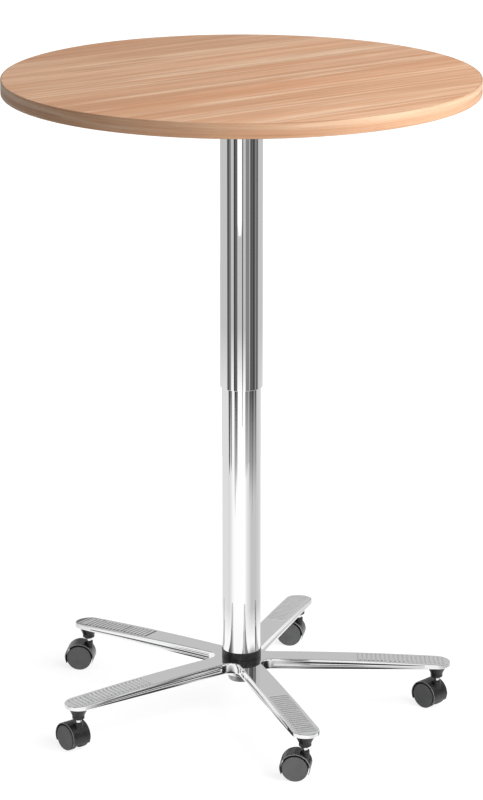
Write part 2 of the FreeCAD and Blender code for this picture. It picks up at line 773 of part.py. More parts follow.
def cut_cells(body):
    """Hollow the arm from below, cell by cell, so that cross ribs stay between the cells."""
    cells = []
    for index in range(int(number("cell_count"))):
        start = f"(cell_start + {index} * cell_pitch)"
        end = f"({start} + cell_pitch - cell_rib)"
        cells.append(cut_loft(body, f"cell_{index + 1}", cell_section(start), cell_section(end), start, end))
    return cells


def cut_grooves(body):
    """Cut the outermost anti-slip groove across the top face; the pattern repeats it."""
    sketch = new_sketch(body, "groove", "XZ_Plane", {"y": "crown_drop"})
    left = "groove_last - groove_width / 2"
    right = "groove_last + groove_width / 2"
    level = "sqrt(crown_radius ^ 2 - groove_last ^ 2)"
    draw_outline(sketch, [(left, f"{level} - groove_depth"), (right, f"{level} - groove_depth"),
                          (right, f"{level} + groove_depth"), (left, f"{level} + groove_depth")])
    return sketch, add_pocket(body, sketch, "groove_length", midplane=True)


def round_the_axis(body, pattern):
    """Set a pattern to repeat things once per arm."""
    pattern.Axis = ([item for item in body.Origin.OriginFeatures if item.Role == "Z_Axis"][0], [""])
    pattern.Angle = 360
    bind(pattern, {"Occurrences": "arm_count"})


def repeat_cuts(body, cuts):
    """Repeat the cuts of the first arm on every arm."""
    star = body.newObject("PartDesign::PolarPattern", "arm_star")
    star.Originals = cuts
    round_the_axis(body, star)
    body.Tip = star


def repeat_grooves(body, sketch, groove):
    """Spread the groove along the arm, round the crown's centre, and then to every arm."""
    grid = body.newObject("PartDesign::MultiTransform", "groove_grid")
    grid.Originals = [groove]
    row = DOCUMENT.addObject("PartDesign::PolarPattern", "groove_row")
    row.Axis = (sketch, ["N_Axis"])
    bind(row, {"Occurrences": "groove_count",
               "Angle": "(groove_count - 1) * groove_pitch / crown_radius * 180 / pi * 1 deg"})
    arms = DOCUMENT.addObject("PartDesign::PolarPattern", "groove_arms")
    round_the_axis(body, arms)
    body.addObject(row)
    body.addObject(arms)
    grid.Transformations = [row, arms]
    body.Tip = grid


def make_star_base():
    """The die-cast base: fluted, ribbed arms round a hub with a taper bore and a tube seat."""
    body = new_body("star_base")
    raise_blank(body)
    cut_star_plan(body)
    round_edges(body, "arm_edge_rounding",
                lambda edge: edge.BoundBox.ZMin > number("arm_bottom + arm_edge_rounding"))
    bore = new_sketch(body, "socket_bore", "XY_Plane", {"z": "arm_bottom"})
    draw_circle(bore, "castor_circle_radius", "0", "socket_spigot_radius + seat_gap")
    cuts = [add_pocket(body, bore, "socket_spigot_length + seat_gap", reverse=True)]
    cuts += cut_flutes(body) + cut_cells(body)
    repeat_cuts(body, cuts)
    repeat_grooves(body, *cut_grooves(body))
    middle = "(hub_top + arm_bottom) / 2"
    turned("hub", [("0", "hub_bottom"), ("hub_boss_radius", "hub_bottom"),
                   ("hub_boss_radius", middle), ("0", middle)], body)
    taper = new_sketch(body, "hub_bore", "XZ_Plane")
    slope = "((stand_radius - stand_foot_radius) / stand_taper_length)"
    low = f"stand_foot_radius + seat_gap + (hub_bottom - stand_bottom) * {slope}"
    high = f"stand_foot_radius + seat_gap + (lower_tube_bottom - stand_bottom) * {slope}"
    draw_outline(taper, [
        ("0", "hub_bottom"), (low, "hub_bottom"), (high, "lower_tube_bottom"),
        ("lower_tube_radius + seat_gap", "lower_tube_bottom"),
        ("lower_tube_radius + seat_gap", "hub_top"), ("0", "hub_top")])
    groove = body.newObject("PartDesign::Groove", "hub_bore_cut")
    groove.Profile = taper
    groove.ReferenceAxis = (taper, ["V_Axis"])
    groove.Angle = 360


# ---------------------------------------------------------------- castors

def arm_angle(index):
    """The angle of an arm, in degrees, as an expression."""
    return f"({index} * 360 / arm_count)"


def stand_at_arm(item, index, heading):
    """Stand a castor piece under the tip of its arm, turned to its heading."""
    turn = f"{arm_angle(index)} * 1 deg"
    bind(item, {"Placement.Base.x": f"castor_circle_radius * cos({turn})",
                "Placement.Base.y": f"castor_circle_radius * sin({turn})",
                "Placement.Rotation.Angle": f"{heading} * 1 deg"})


def make_castor_socket(label):
    """The flared plastic bush between the arm and the castor's stem."""
    return turned(label, [
        ("stem_radius + seat_gap", "socket_bottom"),
        ("socket_foot_radius", "socket_bottom"),
        ("socket_waist_radius", "socket_bottom + socket_chamfer"),
        ("socket_waist_radius", "socket_waist_top"),
        ("(socket_waist_radius + socket_flare_radius) / 2 - socket_chamfer / 2",
         "(socket_waist_top + arm_bottom) / 2 - socket_chamfer / 2"),
        ("socket_flare_radius", "arm_bottom"),
        ("socket_spigot_radius", "arm_bottom"),
        ("socket_spigot_radius", "socket_top"),
        ("0", "socket_top"),
        ("0", "stem_top + seat_gap"),
        ("stem_radius + seat_gap", "stem_top + seat_gap")])


def make_castor_stem(label):
    """The steel stem: a shank held in the socket and a spigot that the hood turns on."""
    return turned(label, [
        ("0", "spigot_bottom"), ("spigot_radius", "spigot_bottom"),
        ("spigot_radius", "spigot_top"), ("stem_radius", "spigot_top"),
        ("stem_radius", "stem_top"), ("0", "stem_top")])


def across_cylinder(name, radius, length, sweep="360", turn="0"):
    """A cylinder, or a sector of one, lying along the axle and centred on the castor."""
    item = DOCUMENT.addObject("Part::Cylinder", name)
    spot = f"vector(castor_trail; -({length}) / 2; wheel_radius)"
    aim = f"rotation(vector(0; 1; 0); {turn}) * rotation(vector(1; 0; 0); -90)"
    bind(item, {"Radius": radius, "Height": length, "Angle": f"({sweep}) * 1 deg",
                "Placement": f"placement({spot}; {aim})"})
    return item


def combine(kind, name, base, tool):
    """A Part boolean of two objects."""
    item = DOCUMENT.addObject(f"Part::{kind}", name)
    item.Base = base
    item.Tool = tool
    return item


def make_castor_hood(label):
    """The moulded hood: a fender over both wheels, the stem's boss, and the web that holds the axle."""
    sector = across_cylinder(f"{label}_sector", "hood_radius", "hood_width",
                             sweep="180 + 2 * hood_dip", turn="180 - hood_dip")
    stem_boss = DOCUMENT.addObject("Part::Cylinder", f"{label}_stem_boss")
    bind(stem_boss, {"Radius": "boss_radius", "Height": "boss_top - wheel_radius",
                     "Placement.Base.z": "wheel_radius"})
    shell = combine("Fuse", f"{label}_shell", sector, stem_boss)
    wheel_space = across_cylinder(f"{label}_wheel_space", "hood_bore", "2 * hood_width")
    fender = combine("Cut", f"{label}_fender", shell, wheel_space)
    web_body = new_body(f"{label}_web")
    web = new_sketch(web_body, f"{label}_web_outline", "XZ_Plane")
    draw_outline(web, [
        ("-boss_radius", "wheel_radius + boss_radius"),
        ("0", "wheel_radius"),
        ("castor_trail", "wheel_radius - axle_boss_radius"),
        ("castor_trail + axle_boss_radius", "wheel_radius"),
        ("castor_trail + axle_boss_radius", "wheel_radius + hood_bore - boss_radius / 2"),
        ("castor_trail", "wheel_radius + hood_bore + hood_wall / 2"),
        ("0", "wheel_radius + hood_bore - boss_radius / 2"),
        ("-boss_radius + hood_wall / 2", "wheel_radius + hood_bore / 2 + hood_wall / 2")])
    add_pad(web_body, web, "web_thickness", midplane=True)
    axle_boss = across_cylinder(f"{label}_axle_boss", "axle_boss_radius", "web_thickness")
    core = combine("Fuse", f"{label}_core", web_body, axle_boss)
    blank = combine("Fuse", f"{label}_blank", fender, core)
    bore = DOCUMENT.addObject("Part::Cylinder", f"{label}_bore")
    bind(bore, {"Radius": "spigot_radius + running_gap", "Height": "spigot_length + hood_radius",
                "Placement.Base.z": "spigot_bottom - moving_gap"})
    drilled = combine("Cut", f"{label}_drilled", blank, bore)
    axle_bore = across_cylinder(f"{label}_axle_bore", "axle_radius + seat_gap", "2 * web_thickness")
    return combine("Cut", label, drilled, axle_bore)


def make_castor_axle(label):
    """The steel axle, pressed in the web."""
    body = new_body(label)
    sketch = new_sketch(body, f"{label}_section", "XZ_Plane")
    draw_circle(sketch, "castor_trail", "wheel_radius", "axle_radius")
    add_pad(body, sketch, "2 * (wheel_outer - wheel_face - moving_gap)", midplane=True)
    return body


def make_wheel(label, side):
    """One twin wheel, closed outside, running on the axle's end."""
    bore = "axle_radius + running_gap"
    rim = "wheel_radius"
    inner = f"{side}(wheel_inner)"
    outer = f"{side}(wheel_outer)"
    return turned(label, [
        ("0", outer),
        (f"{rim} - wheel_chamfer", outer),
        (rim, f"{side}(wheel_outer - wheel_chamfer)"),
        (rim, f"{side}(wheel_inner + wheel_chamfer)"),
        (f"{rim} - wheel_chamfer", inner),
        (bore, inner),
        (bore, f"{side}(wheel_outer - wheel_face)"),
        ("0", f"{side}(wheel_outer - wheel_face)")], plane="XY_Plane")


def stand_wheel(item, index, heading):
    """Stand a wheel at its axle: one trail's length from the stem along the heading."""
    turn = f"{arm_angle(index)} * 1 deg"
    aim = f"{heading} * 1 deg"
    bind(item, {"Placement.Base.x": f"castor_circle_radius * cos({turn}) + castor_trail * cos({aim})",
                "Placement.Base.y": f"castor_circle_radius * sin({turn}) + castor_trail * sin({aim})",
                "Placement.Base.z": "wheel_radius",
                "Placement.Rotation.Angle": aim})


def make_castors():
    """One castor under each arm."""
    for index in range(int(number("arm_count"))):
        tag = index + 1
        heading = f"castor_heading_{index % HEADING_COUNT + 1}"
        for piece in (make_castor_socket(f"castor_socket_{tag}"), make_castor_stem(f"castor_stem_{tag}"),
                      make_castor_hood(f"castor_hood_{tag}"), make_castor_axle(f"castor_axle_{tag}")):
            stand_at_arm(piece, index, heading)
        stand_wheel(make_wheel(f"wheel_left_{tag}", ""), index, heading)
        stand_wheel(make_wheel(f"wheel_right_{tag}", "-"), index, heading)


# ---------------------------------------------------------------- build, check and write

NODES = ["tabletop", "edge_band", "mounting_plate", "plate_screws", "upper_tube", "lower_guide_bush",
         "upper_guide_bush", "lower_tube", "base_collar", "spring_seat", "gas_cylinder", "cylinder_gland",
         "release_pin", "piston", "piston_rod", "stand_tube", "stand_bush", "thrust_bearing",
         "rubber_buffer", "retaining_clip", "lever_bracket", "lever_pin", "lever_arm", "lever_grip",
         "star_base"]
CASTOR_NODES = ["castor_socket", "castor_stem", "castor_hood", "castor_axle", "wheel_left", "wheel_right"]


def build():
    """Make every sub-part."""
    make_tabletop()
    make_edge_band()
    make_mounting_plate()
    make_plate_screws()
    make_upper_tube()
    make_guide_bushes()
    make_lower_tube()
    make_base_collar()
    make_spring_seat()
    make_gas_spring()
    make_stand_tube()
    make_rod_foot()
    make_lever_bracket()
    make_lever_pin()
    make_lever_arm()
    make_lever_grip()
    make_star_base()
    make_castors()
    DOCUMENT.recompute()


def check_objects():
    """Stop if any object of the document failed."""
    for item in DOCUMENT.Objects:
        for state in item.State:
            if state in ("Invalid", "Error"):
                raise RuntimeError(f"{item.Label} is {state}")


def write_parts():
    """Check each sub-part's shape and write it to its own file."""
    os.makedirs("parts", exist_ok=True)
    castors = [f"{name}_{tag + 1}" for tag in range(int(number("arm_count"))) for name in CASTOR_NODES]
    for label in NODES + castors:
        shape = DOCUMENT.getObjectsByLabel(label)[0].Shape
        if shape.isNull() or not shape.isValid():
            raise RuntimeError(f"{label} has no valid shape")
        shape.exportStep(f"parts/{label}.step")
        print(f"{label}: {len(shape.Solids)} solid, {shape.Volume / 1000:.2f} cm3")


build()
check_objects()
write_parts()
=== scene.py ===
"""Dresses the height-adjustable standing meeting table.

A round decor top stands on a two-stage chrome column and a polished five-arm base with twin-wheel
castors. Everything is in metres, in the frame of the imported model: +Z up, the origin on the floor
under the column, and the arm of castor 1 along +X.
"""

import json
import logging
import math
from dataclasses import dataclass
from enum import Enum
from typing import Callable, Sequence

import bmesh
import bpy
from mathutils import Matrix, Vector


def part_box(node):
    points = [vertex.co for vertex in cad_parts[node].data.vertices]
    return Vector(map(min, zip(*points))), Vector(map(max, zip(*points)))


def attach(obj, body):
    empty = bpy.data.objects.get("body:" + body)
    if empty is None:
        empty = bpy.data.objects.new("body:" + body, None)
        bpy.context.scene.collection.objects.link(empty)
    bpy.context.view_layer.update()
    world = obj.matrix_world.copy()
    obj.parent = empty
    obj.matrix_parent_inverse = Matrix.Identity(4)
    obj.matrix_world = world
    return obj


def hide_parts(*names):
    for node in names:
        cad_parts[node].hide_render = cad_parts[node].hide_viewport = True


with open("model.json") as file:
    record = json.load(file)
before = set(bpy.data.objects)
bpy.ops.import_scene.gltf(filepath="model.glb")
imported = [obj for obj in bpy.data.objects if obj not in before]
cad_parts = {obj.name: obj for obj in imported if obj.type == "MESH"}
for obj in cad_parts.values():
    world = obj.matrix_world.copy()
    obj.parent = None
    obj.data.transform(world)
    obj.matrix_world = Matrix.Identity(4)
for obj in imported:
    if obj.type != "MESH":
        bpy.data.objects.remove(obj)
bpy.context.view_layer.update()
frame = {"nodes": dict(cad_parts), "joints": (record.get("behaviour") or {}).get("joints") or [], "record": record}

LOG = logging.getLogger("standing_table")
FULL_TURN = 2 * math.pi
QUARTER_TURN = math.pi / 2
SHARP_ANGLE = math.radians(32)
WELD = 1e-6  # points closer than this are one
BRACE = 0.0004  # how far from the ends of a long run its bracing points lie
FIT = 0.00005  # the play between two pieces that fit together
EASE = 0.3  # how far an eased edge's middle lies from its faces, as a share of its width
SECOND_TONE = "second_tone"
GLOW = "brightness"
SPOT_EDGE = (1.25, 0.75)  # where a floor spot's soft edge ends and starts, in half sizes
MIX_INPUTS = (0, 6, 7)  # where a colour mix node takes its share and its two colours
MIX_RESULT = 2

Triple = tuple[float, float, float]
Color = Triple
Pair = tuple[float, float]


class Body(str, Enum):
    """The rigid bodies that pieces ride on, apart from the castors' own."""

    BASE = "base"
    TOP = "top"
    LEVER = "lever"


class Slot(str, Enum):
    """The record's material slots."""

    DECOR_TOP = "decor_top"
    DECOR_EDGE = "decor_edge"
    BLACK_STEEL = "black_steel"
    ZINC = "zinc_screws"
    CHROME = "chrome_tube"
    BLACK_PLASTIC = "black_plastic"
    SLIDE_PLASTIC = "slide_plastic"
    GREY_STEEL = "grey_steel"
    BRIGHT_STEEL = "bright_steel"
    STEM_STEEL = "stem_steel"
    RUBBER = "buffer_rubber"
    ALUMINIUM = "polished_aluminium"
    WHEEL_PLASTIC = "wheel_plastic"


class GrainPath(Enum):
    """What the wood grain follows."""

    PLANK = "straight across the board"
    AROUND = "along the edging strip"


class Boolean(Enum):
    """How one mesh works on another."""

    UNION = "UNION"
    DIFFERENCE = "DIFFERENCE"


class Side(Enum):
    """The side of a castor that a wheel is on, with the sign of the quarter turn that lays it there."""

    LEFT = 1
    RIGHT = -1


# ------------------------------------------------------------------ frame, scene and numbers

def joint_place(name: str) -> Sequence[float]:
    """Where the frame's joint of that name stands."""
    return next(joint for joint in frame["joints"] if joint["name"] == name)["pos_m"]


def put(name: str, data: bpy.types.ID) -> bpy.types.Object:
    """Puts a mesh, a lamp or a camera into the scene.

    Args:
        name: The new object's name.
        data: What it shows.

    Returns:
        The object.
    """
    item = bpy.data.objects.new(name, data)
    bpy.context.scene.collection.objects.link(item)
    return item


def aim(item: bpy.types.Object, place: Triple, target: Triple) -> None:
    """Sets a lamp or a camera in its place and turns it to a target.

    Args:
        item: The lamp or the camera.
        place: Where it stands.
        target: Where it looks.
    """
    item.location = place
    sight = Vector(target) - item.location
    item.rotation_euler = sight.to_track_quat("-Z", "Y").to_euler()


def plain_mesh(carrier: bpy.types.Object) -> bpy.types.Mesh:
    """Takes the mesh that an object's modifiers make, and removes the object.

    Args:
        carrier: The object with the modifiers.

    Returns:
        The plain mesh.
    """
    graph = bpy.context.evaluated_depsgraph_get()
    mesh = bpy.data.meshes.new_from_object(carrier.evaluated_get(graph))
    bpy.data.objects.remove(carrier)
    return mesh


def outward(mesh: bpy.types.Mesh) -> bpy.types.Mesh:
    """Welds a mesh's doubles and turns its faces outwards.

    Args:
        mesh: The mesh, which is changed.

    Returns:
        The same mesh.
    """
    work = bmesh.new()
    work.from_mesh(mesh)
    bmesh.ops.remove_doubles(work, verts=work.verts, dist=WELD)
    bmesh.ops.recalc_face_normals(work, faces=work.faces)
    work.to_mesh(mesh)
    work.free()
    return mesh


def polar(radius: float, turn: float, height: float) -> Vector:
    """The point at a distance from the Z axis, an angle round it and a height."""
    return Vector((radius * math.cos(turn), radius * math.sin(turn), height))


def quarter(steps: int) -> list[float]:
    """The angles from 0 to a quarter turn, in even steps."""
    return [QUARTER_TURN * step / steps for step in range(steps + 1)]


def between(ends: Pair, share: float) -> float:
    """The value at a share of the way between two."""
    return ends[0] + (ends[1] - ends[0]) * share


def rise_share(value: float, start: float, end: float) -> float:
    """How far a value has come from start to end, from 0 to 1."""
    return min(max((value - start) / (end - start), 0.0), 1.0)


# ------------------------------------------------------------------ node trees

class NodeWorks:
    """A node tree with short ways to add nodes and to feed their sockets."""

    def __init__(self, tree: bpy.types.NodeTree) -> None:
        """Takes the tree to work in."""
        self.tree = tree

    def feed(self, socket: bpy.types.NodeSocket, value: object) -> None:
        """Links a socket to another one, or sets its value.

        Args:
            socket: The input socket.
            value: An output socket, or a plain value.
        """
        if isinstance(value, bpy.types.NodeSocket):
            self.tree.links.new(value, socket)
        else:
            socket.default_value = value

    def add(self, kind: str, inputs: dict | None = None, **settings: object) -> bpy.types.Node:
        """Adds a node.

        Args:
            kind: Blender's name for the node type.
            inputs: What feeds its sockets, by name or by place.
            settings: The node's own properties.

        Returns:
            The new node.
        """
        node = self.tree.nodes.new(kind)
        for name, value in settings.items():
            setattr(node, name, value)
        for key, value in (inputs or {}).items():
            self.feed(node.inputs[key], value)
        return node

    def math(self, operation: str, first: object, second: object = 0.0) -> bpy.types.NodeSocket:
        """The result of a math node on two values or sockets."""
        return self.add("ShaderNodeMath", {0: first, 1: second}, operation=operation).outputs[0]

    def vector(self, **parts: object) -> bpy.types.NodeSocket:
        """A vector from its parts X, Y and Z; a part left out is 0."""
        return self.add("ShaderNodeCombineXYZ", parts).outputs[0]

    def length(self, vector: bpy.types.NodeSocket) -> bpy.types.NodeSocket:
        """The length of a vector."""
        return self.add("ShaderNodeVectorMath", {0: vector}, operation="LENGTH").outputs["Value"]


class Shader(NodeWorks):
    """A material under construction, round its principled shader."""

    def __init__(self, name: str) -> None:
        """Makes an empty material of that name."""
        self.material = bpy.data.materials.new(name)
        self.material.use_nodes = True
        super().__init__(self.material.node_tree)
        self.surface = self.tree.nodes["Principled BSDF"]

    def set(self, **values: object) -> None:
        """Feeds the principled shader's sockets, named with underscores for spaces."""
        for name, value in values.items():
            self.feed(self.surface.inputs[name.replace("_", " ")], value)

    def cover(self, surface: bpy.types.NodeSocket) -> None:
        """Makes another surface the material's own."""
        self.feed(self.tree.nodes["Material Output"].inputs["Surface"], surface)

    def carried(self, attribute: str) -> bpy.types.NodeSocket:
        """The value that each face or point carries under a name."""
        return self.add("ShaderNodeAttribute", attribute_name=attribute).outputs["Fac"]

    def coordinates(self, scale: Triple, turn: float = 0.0, uv: bool = False) -> bpy.types.NodeSocket:
        """The piece's own coordinates, in metres, turned about Z and then scaled.

        Args:
            scale: The scale along each axis.
            turn: The angle about Z, in radians.
            uv: Whether to read the piece's UV map in place of its object coordinates.

        Returns:
            The vector socket.
        """
        source = self.add("ShaderNodeTexCoord").outputs["UV" if uv else "Object"]
        turned = self.add("ShaderNodeMapping", {"Vector": source, "Rotation": (0.0, 0.0, turn)})
        return self.add("ShaderNodeMapping", {"Vector": turned.outputs[0], "Scale": scale}).outputs[0]

    def noise(self, vector: bpy.types.NodeSocket, scale: float, detail: float,
              waver: float = 0.0) -> bpy.types.NodeSocket:
        """The value of a noise texture on a vector."""
        return self.add("ShaderNodeTexNoise", {
            "Vector": vector, "Scale": scale, "Detail": detail, "Distortion": waver}).outputs[0]

    def span(self, value: bpy.types.NodeSocket, low: float, high: float) -> bpy.types.NodeSocket:
        """A value from 0 to 1 spread over another range."""
        return self.add("ShaderNodeMapRange", {"Value": value, "To Min": low, "To Max": high}).outputs[0]

    def ramp(self, value: bpy.types.NodeSocket, stops: Sequence[tuple[float, Color]]) -> bpy.types.NodeSocket:
        """Colours by value.

        Args:
            value: The value that picks the colour.
            stops: Places and colours, in rising order.

        Returns:
            The colour socket.
        """
        ramp = self.add("ShaderNodeValToRGB", {0: value})
        elements = ramp.color_ramp.elements
        while len(elements) < len(stops):
            elements.new(0.5)
        for element, (place, color) in zip(elements, stops):
            element.position = place
            element.color = (*color, 1.0)
        return ramp.outputs[0]

    def over(self, share: bpy.types.NodeSocket, below: object, color: Color) -> bpy.types.NodeSocket:
        """Lays a colour over another.

        Args:
            share: How much of it shows, from 0 to 1.
            below: What it covers, a socket or a colour with its opacity.
            color: The colour that covers it.

        Returns:
            The colour socket.
        """
        mix = self.add("ShaderNodeMix", data_type="RGBA")
        for place, value in zip(MIX_INPUTS, (share, below, (*color, 1.0))):
            self.feed(mix.inputs[place], value)
        return mix.outputs[MIX_RESULT]

    def bump(self, height: bpy.types.NodeSocket, distance: float, strength: float = 1.0) -> None:
        """Feeds the shader's normal with a bump from a height."""
        node = self.add("ShaderNodeBump", {"Height": height, "Distance": distance, "Strength": strength})
        self.feed(self.surface.inputs["Normal"], node.outputs[0])


class ShapeTree(NodeWorks):
    """A Geometry Nodes tree with named inputs, ending in Realize Instances and Set Material."""

    def __init__(self, name: str, **kinds: str) -> None:
        """Makes a tree that takes a geometry and its material, and gives a geometry.

        Args:
            name: The tree's name.
            kinds: The kind of socket of each of its other inputs, by name.
        """
        super().__init__(bpy.data.node_groups.new(name, "GeometryNodeTree"))
        self.identifiers: dict[str, str] = {}
        for label, kind in {"Geometry": "Geometry", **kinds, "Material": "Material"}.items():
            made = self.tree.interface.new_socket(label, in_out="INPUT", socket_type=f"NodeSocket{kind}")
            self.identifiers[label] = made.identifier
        self.tree.interface.new_socket("Geometry", in_out="OUTPUT", socket_type="NodeSocketGeometry")
        self.entry = self.add("NodeGroupInput")

    def given(self, name: str) -> bpy.types.NodeSocket:
        """The socket that carries a named input."""
        return self.entry.outputs[name]

    def copies(self, points: bpy.types.NodeSocket, **inputs: object) -> bpy.types.NodeSocket:
        """A copy of the given geometry on each of some points."""
        feeds = {"Points": points, "Instance": self.given("Geometry"), **inputs}
        return self.add("GeometryNodeInstanceOnPoints", feeds).outputs[0]

    def end(self, geometry: bpy.types.NodeSocket, weld: bool) -> None:
        """Realizes the instances, sets the material and closes the tree.

        Args:
            geometry: The socket with the instances.
            weld: Whether to merge points that touch.
        """
        made = self.add("GeometryNodeRealizeInstances", {"Geometry": geometry}).outputs[0]
        if weld:
            feeds = {"Geometry": made, "Distance": WELD * 10}
            made = self.add("GeometryNodeMergeByDistance", feeds).outputs[0]
        dressed = self.add("GeometryNodeSetMaterial", {"Geometry": made, "Material": self.given("Material")})
        self.add("NodeGroupOutput", {"Geometry": dressed.outputs[0]})

    def build(self, name: str, source: bpy.types.Mesh, material: bpy.types.Material,
              **values: object) -> bpy.types.Mesh:
        """Runs the tree on a mesh.

        Args:
            name: The name of the result.
            source: The mesh that the tree repeats.
            material: The material it sets.
            values: The tree's other inputs, by name.

        Returns:
            The plain mesh.
        """
        carrier = put(name, source)
        modifier = carrier.modifiers.new(name, "NODES")
        modifier.node_group = self.tree
        for key, value in {"Material": material, **values}.items():
            modifier[self.identifiers[key]] = value
        mesh = plain_mesh(carrier)
        mesh.name = name
        return mesh


def ring_tree() -> ShapeTree:
    """Builds the tree that repeats its geometry at even steps round the Z axis.

    Returns:
        The tree, with a count and a radius.
    """
    works = ShapeTree("repeat_round_the_axis", Count="Int", Radius="Float")
    line = works.add("GeometryNodeMeshLine", {"Count": works.given("Count"), "Offset": (0.0, 0.0, 0.0)})
    index = works.add("GeometryNodeInputIndex").outputs[0]
    turn = works.math("MULTIPLY", index, works.math("DIVIDE", FULL_TURN, works.given("Count")))
    across = works.math("MULTIPLY", works.math("COSINE", turn), works.given("Radius"))
    along = works.math("MULTIPLY", works.math("SINE", turn), works.given("Radius"))
    spot = works.vector(X=across, Y=along)
    placed = works.add("GeometryNodeSetPosition", {"Geometry": line.outputs[0], "Position": spot})
    rotation = works.add("FunctionNodeEulerToRotation", {"Euler": works.vector(Z=turn)})
    works.end(works.copies(placed.outputs[0], Rotation=rotation.outputs[0]), weld=True)
    return works


def row_tree() -> ShapeTree:
    """Builds the tree that repeats its geometry in a row along X.

    Returns:
        The tree, with a count and a pitch.
    """
    works = ShapeTree("repeat_in_a_row", Count="Int", Pitch="Float")
    step = works.vector(X=works.given("Pitch"))
    line = works.add("GeometryNodeMeshLine", {"Count": works.given("Count"), "Offset": step})
    works.end(works.copies(line.outputs[0]), weld=False)
    return works


def frame_tree() -> ShapeTree:
    """Builds the tree that repeats its geometry at a square's corners and the middles of its sides.

    Returns:
        The tree, with the spacing of the corners and the level they lie at.
    """
    works = ShapeTree("repeat_round_a_square", Spacing="Float", Level="Float")
    size = works.given("Spacing")
    grid = works.add("GeometryNodeMeshGrid", {
        "Size X": size, "Size Y": size, "Vertices X": 3, "Vertices Y": 3})
    reach = works.length(works.add("GeometryNodeInputPosition").outputs[0])
    outer = works.add("FunctionNodeCompare", {"A": reach, "B": WELD},
                      data_type="FLOAT", operation="GREATER_THAN")
    copies = works.copies(grid.outputs[0], Selection=outer.outputs[0])
    rise = works.vector(Z=works.given("Level"))
    lifted = works.add("GeometryNodeTranslateInstances", {"Instances": copies, "Translation": rise})
    works.end(lifted.outputs[0], weld=False)
    return works


# ------------------------------------------------------------------ finishes

@dataclass(frozen=True)
class MetalFinish:
    """Bare or plated metal: its colour, its gloss, and the faint marks of polishing and handling."""

    name: str
    color: Color
    roughness: float
    haze: float
    mark_scale: float
    mark_stretch: Triple = (1.0, 1.0, 1.0)
    mark_depth: float = 0.0
    mark_detail: float = 4.0
    mark_waver: float = 0.4
    scratches_per_mark: float = 6.0
    scratch_detail: float = 3.0
    groove_shade: Color | None = None
    groove_haze: float = 0.3

    def material(self) -> bpy.types.Material:
        """Builds the material; where the second tone is 1, the groove shade colour shows as painted shade in the
        grooves, with a duller gloss.

        Returns:
            The material.
        """
        shader = Shader(self.name)
        place = shader.coordinates(self.mark_stretch)
        patches = shader.noise(place, self.mark_scale, self.mark_detail, self.mark_waver)
        gloss = shader.span(patches, self.roughness, self.roughness + self.haze)
        color: object = (*self.color, 1.0)
        if self.groove_shade:
            share = shader.carried(SECOND_TONE)
            color = shader.over(share, color, self.groove_shade)
            gloss = shader.math("ADD", gloss, shader.math("MULTIPLY", share, self.groove_haze))
        shader.set(Base_Color=color, Metallic=1.0, Roughness=gloss)
        if self.mark_depth > 0:
            scratches = shader.noise(place, self.mark_scale * self.scratches_per_mark, self.scratch_detail)
            shader.bump(scratches, self.mark_depth)
        return shader.material


@dataclass(frozen=True)
class PlasticFinish:
    """Moulded plastic, rubber or coated steel: a fine skin texture and a slightly uneven gloss."""

    name: str
    color: Color
    worn: Color
    roughness: float
    haze: float
    skin_scale: float
    skin_depth: float
    second: Color | None = None
    gloss: float = 0.5
    skin_detail: float = 2.0
    patch_scale: float = 45.0
    patch_detail: float = 4.0
    patch_waver: float = 0.3
    patch_reach: Pair = (0.3, 0.75)

    def material(self) -> bpy.types.Material:
        """Builds the material; the second colour shows where the second tone is 1.

        Returns:
            The material.
        """
        shader = Shader(self.name)
        place = shader.coordinates((1.0, 1.0, 1.0))
        patches = shader.noise(place, self.patch_scale, self.patch_detail, self.patch_waver)
        color = shader.ramp(patches, list(zip(self.patch_reach, (self.color, self.worn))))
        if self.second:
            color = shader.over(shader.carried(SECOND_TONE), color, self.second)
        shader.set(Base_Color=color, Specular_IOR_Level=self.gloss,
                   Roughness=shader.span(patches, self.roughness, self.roughness + self.haze))
        shader.bump(shader.noise(place, self.skin_scale, self.skin_detail), self.skin_depth)
        return shader.material


@dataclass(frozen=True)
class Streak:
    """One kind of streak in the decor.

    Along and across are how many come to a metre, detail and waver shape their noise, and the colour
    rises from nothing, where that noise is at the start, to its full share at the end.
    """

    color: Color
    along: float
    across: float
    detail: float
    waver: float
    start: float
    end: float
    share: float


DARK_GRAIN: Color = (0.620, 0.300, 0.150)


